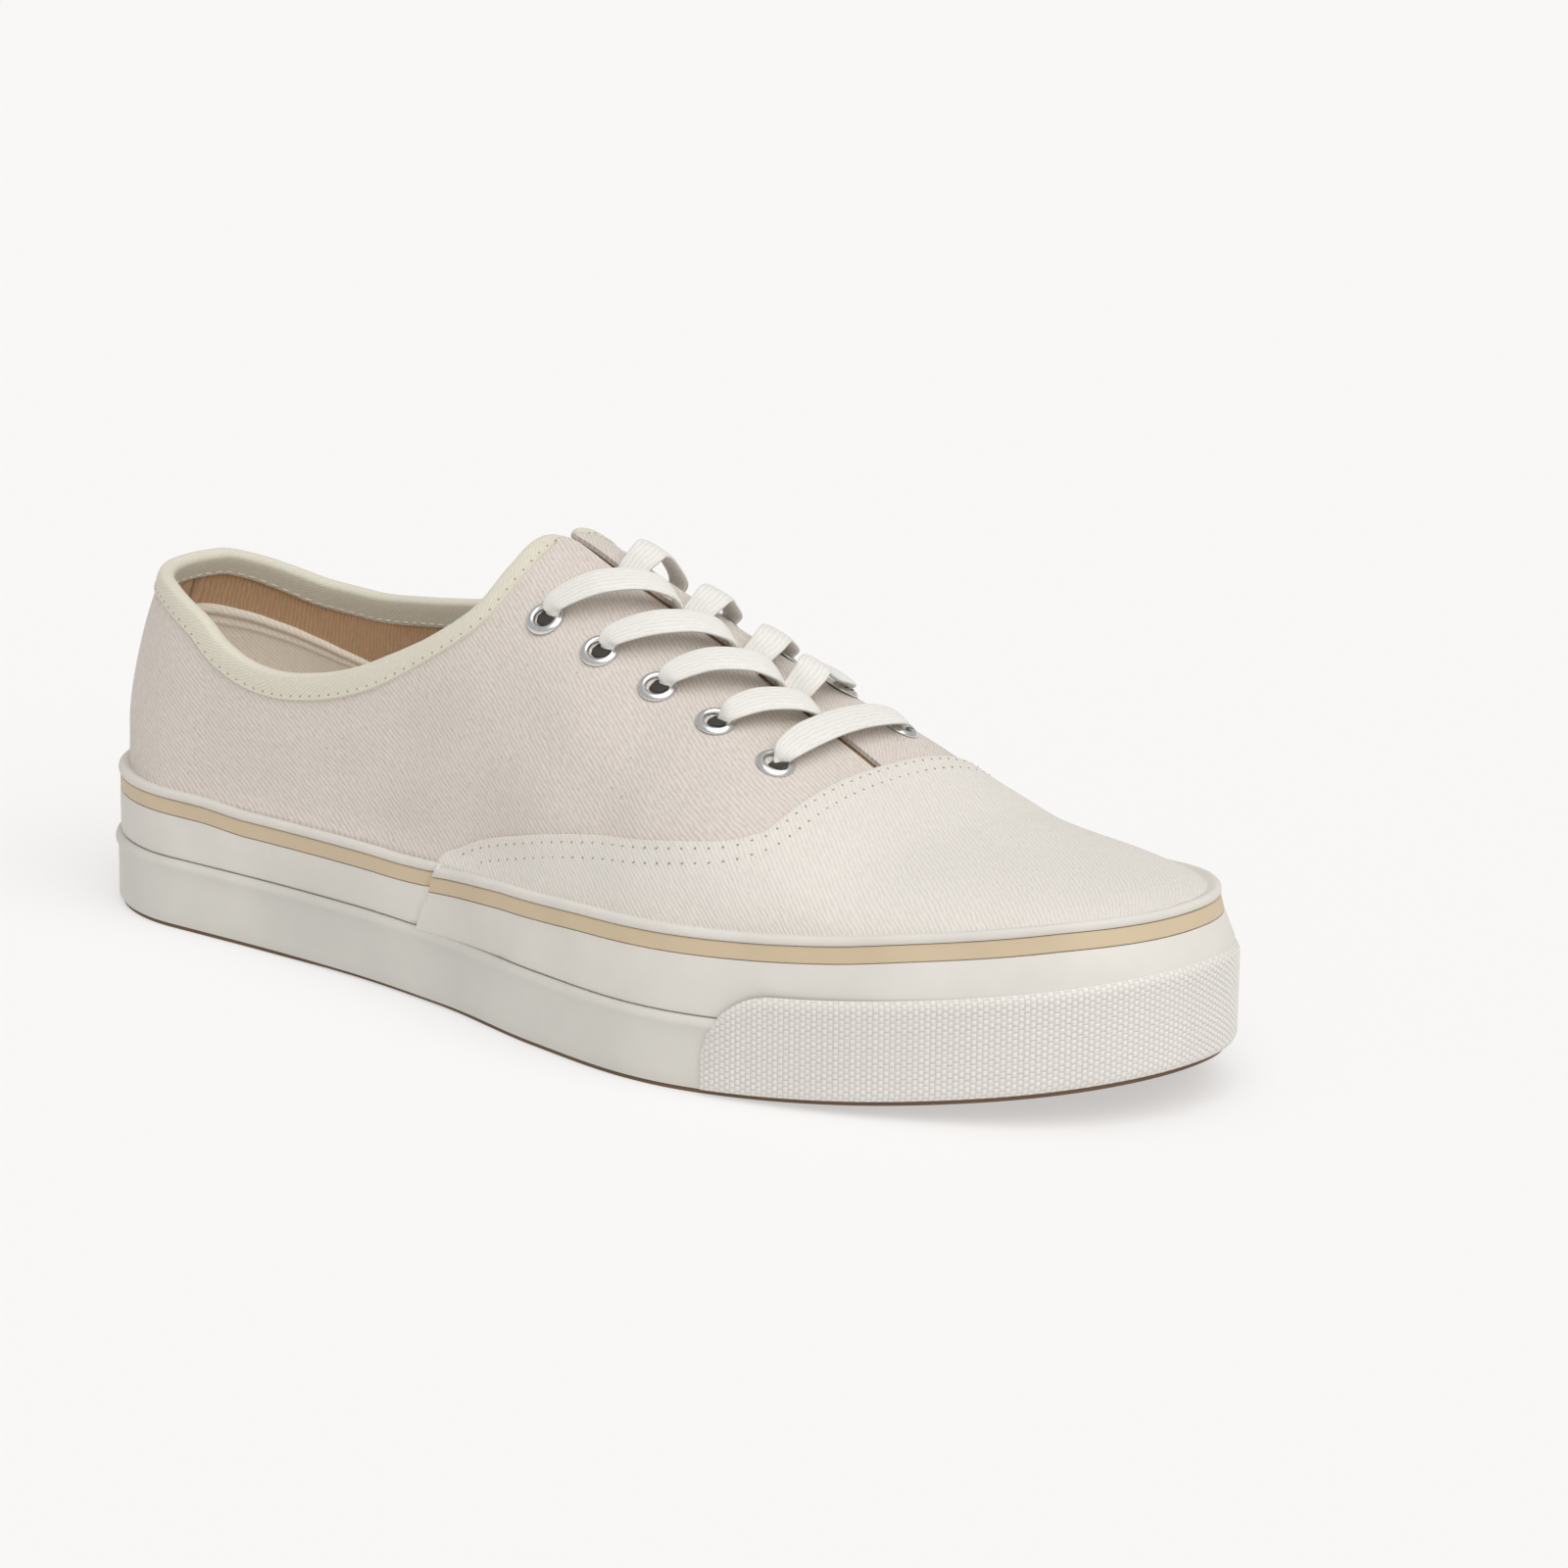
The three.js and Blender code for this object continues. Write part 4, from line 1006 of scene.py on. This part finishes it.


# The needle holes are small dark beads: painted shade for the shade inside each hole.
hole = bead_shape(0.52, 0.52, 0.26)
stitch = bead_shape(2.2, 0.42, 0.4)
vamp_rows = [(*seam_row(1.7, 0.02), 3.1), (*seam_row(4.9, 0.02), 3.1)]
row_of_beads("vamp_needle_holes", vamp_rows, hole, needle_hole_shade, "canvas")
collar_points, collar_off = from_collar(3.2, 0.74)
row_of_beads("collar_needle_holes", [(collar_points, collar_off, 2.9)], hole, needle_hole_shade, "binding_tape")
inside_points, inside_off = from_collar(3.9, -2.78)
row_of_beads("collar_inner_stitches", [(inside_points, -inside_off, 2.9)], stitch, thread, "binding_tape")
flap_rows = [(*throat_row(s, 8.2, 0.03), 2.6) for s in (-1, 1)]
row_of_beads("flap_stitches", flap_rows, stitch, thread, "canvas")

# %% [markdown]
# Inside, a tan drill lining covers the whole wall, and a paler heel lining lies over it with
# its own folded edge. The insole is a cloth sheet that turns up a little at the wall.

# %% Linings, tongue and insole
points, uv = quarter_sheet(-1.75, rows=60, low=20.0)
lining_sheet = grid_piece("drill_lining", points, uv)
outward(lining_sheet)
apply(lining_sheet, "SOLIDIFY", thickness=0.0005, offset=-1.0)
finish(lining_sheet, "tongue_canvas", lining, "upper", angle=50)


# %% Heel lining
HEEL_EDGE = {
    "x": [9, 12, 17.7, 25.4, 32.6, 41.6, 60, 95],
    "z": [65, 62.5, 59.2, 55.7, 53.2, 51.1, 47.5, 41],
}


def heel_lining(cols=150, rows=60):
    far = np.linspace(-1, 1, cols)
    x = 4.6 + 78 * np.abs(far) ** 1.7

    def below(p):
        return p[..., 2] < np.interp(p[..., 0], HEEL_EDGE["x"], HEEL_EDGE["z"])
    top = angle_where(x, below, -2.3)
    share = np.linspace(0, 1, rows)[:, None]
    hem = 0.7 * np.exp(-(((share - 0.975) / 0.025) ** 2))
    ridge = 0.4 * np.exp(-(((share - 0.89) / 0.02) ** 2))
    out = -2.35 - hem - ridge
    angle = np.where(far < 0, top * share, math.pi - top * share)
    line = form(x, angle, out)
    line = line + normal_at(x, angle) * folds(line, 1)[..., None]
    foot, edge = line[:1].copy(), form(x, angle[-1:], -1.9)
    foot[..., 2] = 21
    edge = edge + normal_at(x, angle[-1:]) * folds(edge, 1)[..., None]
    grid = np.concatenate([foot, line, edge])
    up = length_along(grid.swapaxes(0, 1)).T
    return grid, np.stack([np.broadcast_to(length_along(grid[5]), up.shape), up], -1)


points, uv = heel_lining()
heel_sheet = grid_piece("heel_lining", points, uv)
apply(heel_sheet, "SOLIDIFY", thickness=0.0003, offset=1.0)
finish(heel_sheet, "insole_cloth", heel_cloth, angle=60)


# %% Tongue
TONGUE_TOP, TONGUE_FOOT, TONGUE_HALF = 126.6, 229.0, 20.0


def tongue_sheet():
    x = np.linspace(TONGUE_TOP, TONGUE_FOOT, 90)
    across = np.linspace(-1, 1, 40)
    narrowed = 1 - 0.25 * np.clip((x - 180) / 48, 0, 1)
    rounded = 1 - 0.3 * np.clip(1 - (x - TONGUE_TOP) / 9, 0, 1) ** 2
    half = TONGUE_HALF * narrowed * rounded
    y = middle(x)[:, None] + half[:, None] * across[None]
    xx = np.broadcast_to(x[:, None], y.shape)
    out = -2.4 - 0.9 * np.clip((xx - 130) / 12, 0, 1) + 0.9 * np.clip((xx - 180) / 20, 0, 1)
    angle = angle_at_y(xx, y, out)
    points = form(xx, angle, out)
    return points, np.stack([xx, y], -1)


points, uv = tongue_sheet()
tongue = grid_piece("tongue_cloth", points, uv)
outward(tongue)
apply(tongue, "SOLIDIFY", thickness=0.0018, offset=-1.0)
finish(tongue, "tongue_canvas", tongue_cloth, "tongue", angle=50)


# %% Insole
def insole_sheet():
    share = (1 - np.cos(np.pi * np.linspace(0.01, 0.99, 120))) / 2
    x = 4.6 + (SOLE - 7.8 - 4.6) * share
    half, swing = outline(x, 4.6, 7.6, 7.8)
    across = np.sin(np.linspace(-1, 1, 50) * math.pi / 2)
    y = swing[:, None] + half[:, None] * across[None]
    xx = np.broadcast_to(x[:, None], y.shape)
    rim = np.clip(1 - (1 - np.abs(across))[None] * half[:, None] / 9, 0, 1)
    z = 20.9 + spring(xx) + 2.4 * rim**2.4
    return np.stack([xx, y, z], -1), np.stack([xx, y], -1)


points, uv = insole_sheet()
insole = grid_piece("insole_sheet", points, uv)
apply(insole, "SOLIDIFY", thickness=0.0035, offset=-1.0)
finish(insole, "insole_cloth", insole_cloth, "insole", angle=50)

# The core under the insole is hidden, and keeps its solid.
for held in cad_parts["midsole"].material_slots:
    held.material = bead_rubber

# %% [markdown]
# The eyelets are pressed metal: a rolled flange on the cloth and a short barrel through it.
# One profile is turned round each hole. The canvas sheet under an eyelet isn't cut, so a dark disc
# inside the rim is painted shade: it stands for the shade seen down each hole.

# %% Eyelets
EYELET_X = [140.0, 156.2, 172.3, 188.5, 204.6]
EYELET_SIDE = 21.4
PROFILE = [
    (2.35, -2.2), (2.3, -0.6), (2.32, 0.2), (2.45, 0.62), (2.75, 0.9), (3.1, 1.0), (3.5, 0.93),
    (3.9, 0.68), (4.2, 0.4), (4.33, 0.2), (4.25, 0.04), (3.6, 0.0), (2.85, -0.1), (2.75, -0.8),
    (2.75, -2.2),
]


def eyelet(name, x, sign):
    y = float(middle(x)) + sign * EYELET_SIDE
    angle = angle_at_y(np.array([x]), np.array([y]))
    centre = form(np.array([x]), angle)[0]
    up = normal_at(np.array([x]), angle)[0]
    side = np.cross(up, [1.0, 0, 0])
    side /= np.linalg.norm(side)
    front = np.cross(side, up)
    turn = np.linspace(0, 2 * math.pi, 41)
    rim = np.cos(turn)[:, None] * side + np.sin(turn)[:, None] * front
    rows = [centre + rim * r + up * (h + 0.1) for r, h in PROFILE + PROFILE[:1]]
    piece = grid_piece(name, np.array(rows), closed=True)
    outward(piece)
    finish(piece, "eyelet_metal", metal, name.replace("ring", "eyelet"), angle=60)


for number, x in enumerate(EYELET_X):
    for side, sign in (("outer", -1), ("inner", 1)):
        eyelet(f"ring_{side}_{number + 1}", x, sign)
    print("eyelets of row", number + 1)
# Painted shade: a near-black disc under each eyelet stands for the shade inside the hole.
hole_shade_discs = []
for x in EYELET_X:
    for sign in (-1, 1):
        angle = angle_at_y(np.array([x]), np.array([float(middle(x)) + sign * EYELET_SIDE]))
        up = normal_at(np.array([x]), angle)
        spot = form(np.array([x]), angle) + up * 0.5
        hole_shade_discs.append((np.concatenate([spot, spot + [[1.0, 0, 0]]]), np.repeat(up, 2, 0), 0.6))
row_of_beads("eyelet_hole_shade_discs", hole_shade_discs, bead_shape(4.7, 4.7, 0.3), painted_hole_shade, "tongue_canvas")

# %% [markdown]
# The lace is a flat woven cotton strap, about 7.4 mm wide. It lies as a bar across the lowest pair
# of eyelets. Above that each strap comes up out of the throat, arches over the flap's edge and
# goes down through an eyelet. Its ends stay hidden inside, at the top pair.

# %% Lace
def lace_point(x, offset, height):
    angle = angle_at_y(np.array([x]), np.array([float(middle(x)) + offset]))
    point, up = form(np.array([x]), angle)[0], normal_at(np.array([x]), angle)[0]
    return point + up * height, up


def strap(name, stations, *nodes):
    """stations: x, offset from the throat's middle, height over the cloth, width."""
    rows = []
    for x, offset, height, width in stations:
        point, up = lace_point(x, offset, height)
        rows.append([*point, *up, width])
    smooth_rows = through(rows, 16 * len(rows))
    line, up, width = smooth_rows[:, :3], smooth_rows[:, 3:6], smooth_rows[:, 6]
    ahead = np.gradient(line, axis=0)
    ahead /= np.linalg.norm(ahead, axis=1, keepdims=True)
    side = np.cross(up, ahead)
    side = smooth(side / np.linalg.norm(side, axis=1, keepdims=True), 8)
    side /= np.linalg.norm(side, axis=1, keepdims=True)
    lift = np.cross(ahead, side)
    turn = np.linspace(0, 2 * math.pi, 29)
    cosine, sine = np.cos(turn), np.sin(turn)
    flat = np.sign(cosine) * np.abs(cosine) ** 0.75
    thick = np.sign(sine) * np.abs(sine) ** 0.6
    half_thick = 0.72 * np.clip(1.4 - width / 16, 1, 1.3)
    points = np.array([
        line + side * (width / 2 * f)[:, None] + lift * (half_thick * t)[:, None]
        for f, t in zip(flat, thick)
    ])
    run = length_along(line)
    across = (flat * 3.2)[:, None] + (turn > math.pi)[:, None] * 9
    uv = np.stack([np.broadcast_to(values, points.shape[:2]) for values in (run, across)], -1)
    piece = grid_piece(name, points, uv, closed=True)
    close_ends(piece)
    finish(piece, "lace_cotton", lace_cloth, *nodes, angle=60)
    print(name, "is", round(float(run[-1]), 1), "mm long")


DIVES = [158.5, 174.0, 187.5, 198.0]
RISES = [146.0, 164.5, 180.5, 192.0]
ARCHES = [6.2, 5.5, 5.5, 4.6]
for number, (x, dive, rise, arch) in enumerate(zip(EYELET_X, DIVES, RISES, ARCHES)):
    node, run = f"lace_crossing_{number + 1}", dive - x
    outer = [
        (x + 3.5, -17.5, -3.0, 3.0), (x + 1.6, -19.8, -1.6, 2.9), (x + 1.3, -20.1, 0.9, 3.5),
        (x + 2.0, -18.5, 3.2, 6.0), (x + 0.42 * run, -13.0, 0.95 * arch, 7.4),
        (x + 0.72 * run, -7.0, arch, 7.5), (x + 0.93 * run, -2.8, 0.8 * arch, 7.2),
        (dive + 0.5, 0.2, 0.3 * arch, 6.0), (dive + 1.4, 2.4, -2.4, 5.2),
    ]
    strap(f"lace_outer_{number + 1}", outer, node)
    high = 5.4 if number < 3 else 6.4
    inner = [
        (rise + 0.6, -2.6, -2.6, 5.2), (rise + 0.3, -1.4, -0.6, 5.8), (rise, 0.6, 2.2, 6.8),
        (rise - 0.5, 3.6, high - 0.5, 7.4), (rise - 2.0, 7.0, high, 7.5),
        (x + 0.4 * (rise - x), 12.5, 4.2, 7.3), (x + 1.6, 18.6, 3.0, 6.0),
        (x + 0.8, 20.4, 1.0, 3.6), (x + 1.0, 20.2, -1.6, 3.0), (x + 3.5, 17.5, -3.0, 3.0),
    ]
    strap(f"lace_inner_{number + 1}", inner, node)
x = EYELET_X[4]
half_bar = [
    (x - 4.5, 15.5, -3.0, 3.0), (x + 0.4, 19.8, -1.6, 2.8), (x + 0.4, 20.3, 0.9, 3.4),
    (x + 0.2, 18.4, 3.0, 6.0),
    (x - 0.2, 12.0, 3.6, 7.4), (x - 0.3, 5.0, 3.9, 7.4), (x - 0.3, 0.0, 4.0, 7.4),
]
bar = [(at, -off, *rest) for at, off, *rest in half_bar] + half_bar[-2::-1]
strap("lace_bottom_bar", bar, "lace_bar")

# %% [markdown]
# The studio is a pale floor, which runs on to the horizon, under a bright sky and one very
# wide soft lamp above the toe. The floor glows a little as well, as a light table does, so
# the background stays plain and the shadows stay faint.

# %% Floor and light
deselect()
bpy.ops.mesh.primitive_plane_add(size=30, location=(0, 0, 0))
floor = bpy.context.object
floor.name = "studio_floor"
pale = Finish("studio_floor", Base_Color=rgb(0.42, 0.415, 0.41), Roughness=0.9, Specular_IOR_Level=0.1,
              Emission_Color=rgb(1.0, 0.988, 0.98), Emission_Strength=0.51)
floor.data.materials.append(pale.material)

world = bpy.context.scene.world or bpy.data.worlds.new("studio")
bpy.context.scene.world = world
world.use_nodes = True
sky = next(n for n in world.node_tree.nodes if n.type == "BACKGROUND")
sky.inputs["Color"].default_value = (1.0, 0.993, 0.985, 1)
sky.inputs["Strength"].default_value = 0.52
bpy.context.scene.view_settings.view_transform = "Standard"


def soft_sun(name, come_from, strength, spread):
    data = bpy.data.lights.new(name, "SUN")
    data.energy, data.angle = strength, math.radians(spread)
    item = bpy.data.objects.new(name, data)
    bpy.context.collection.objects.link(item)
    item.rotation_euler = (-Vector(come_from)).to_track_quat("-Z", "Y").to_euler()


soft_sun("studio_top", (0.5, -0.25, 0.83), 1.95, 70)
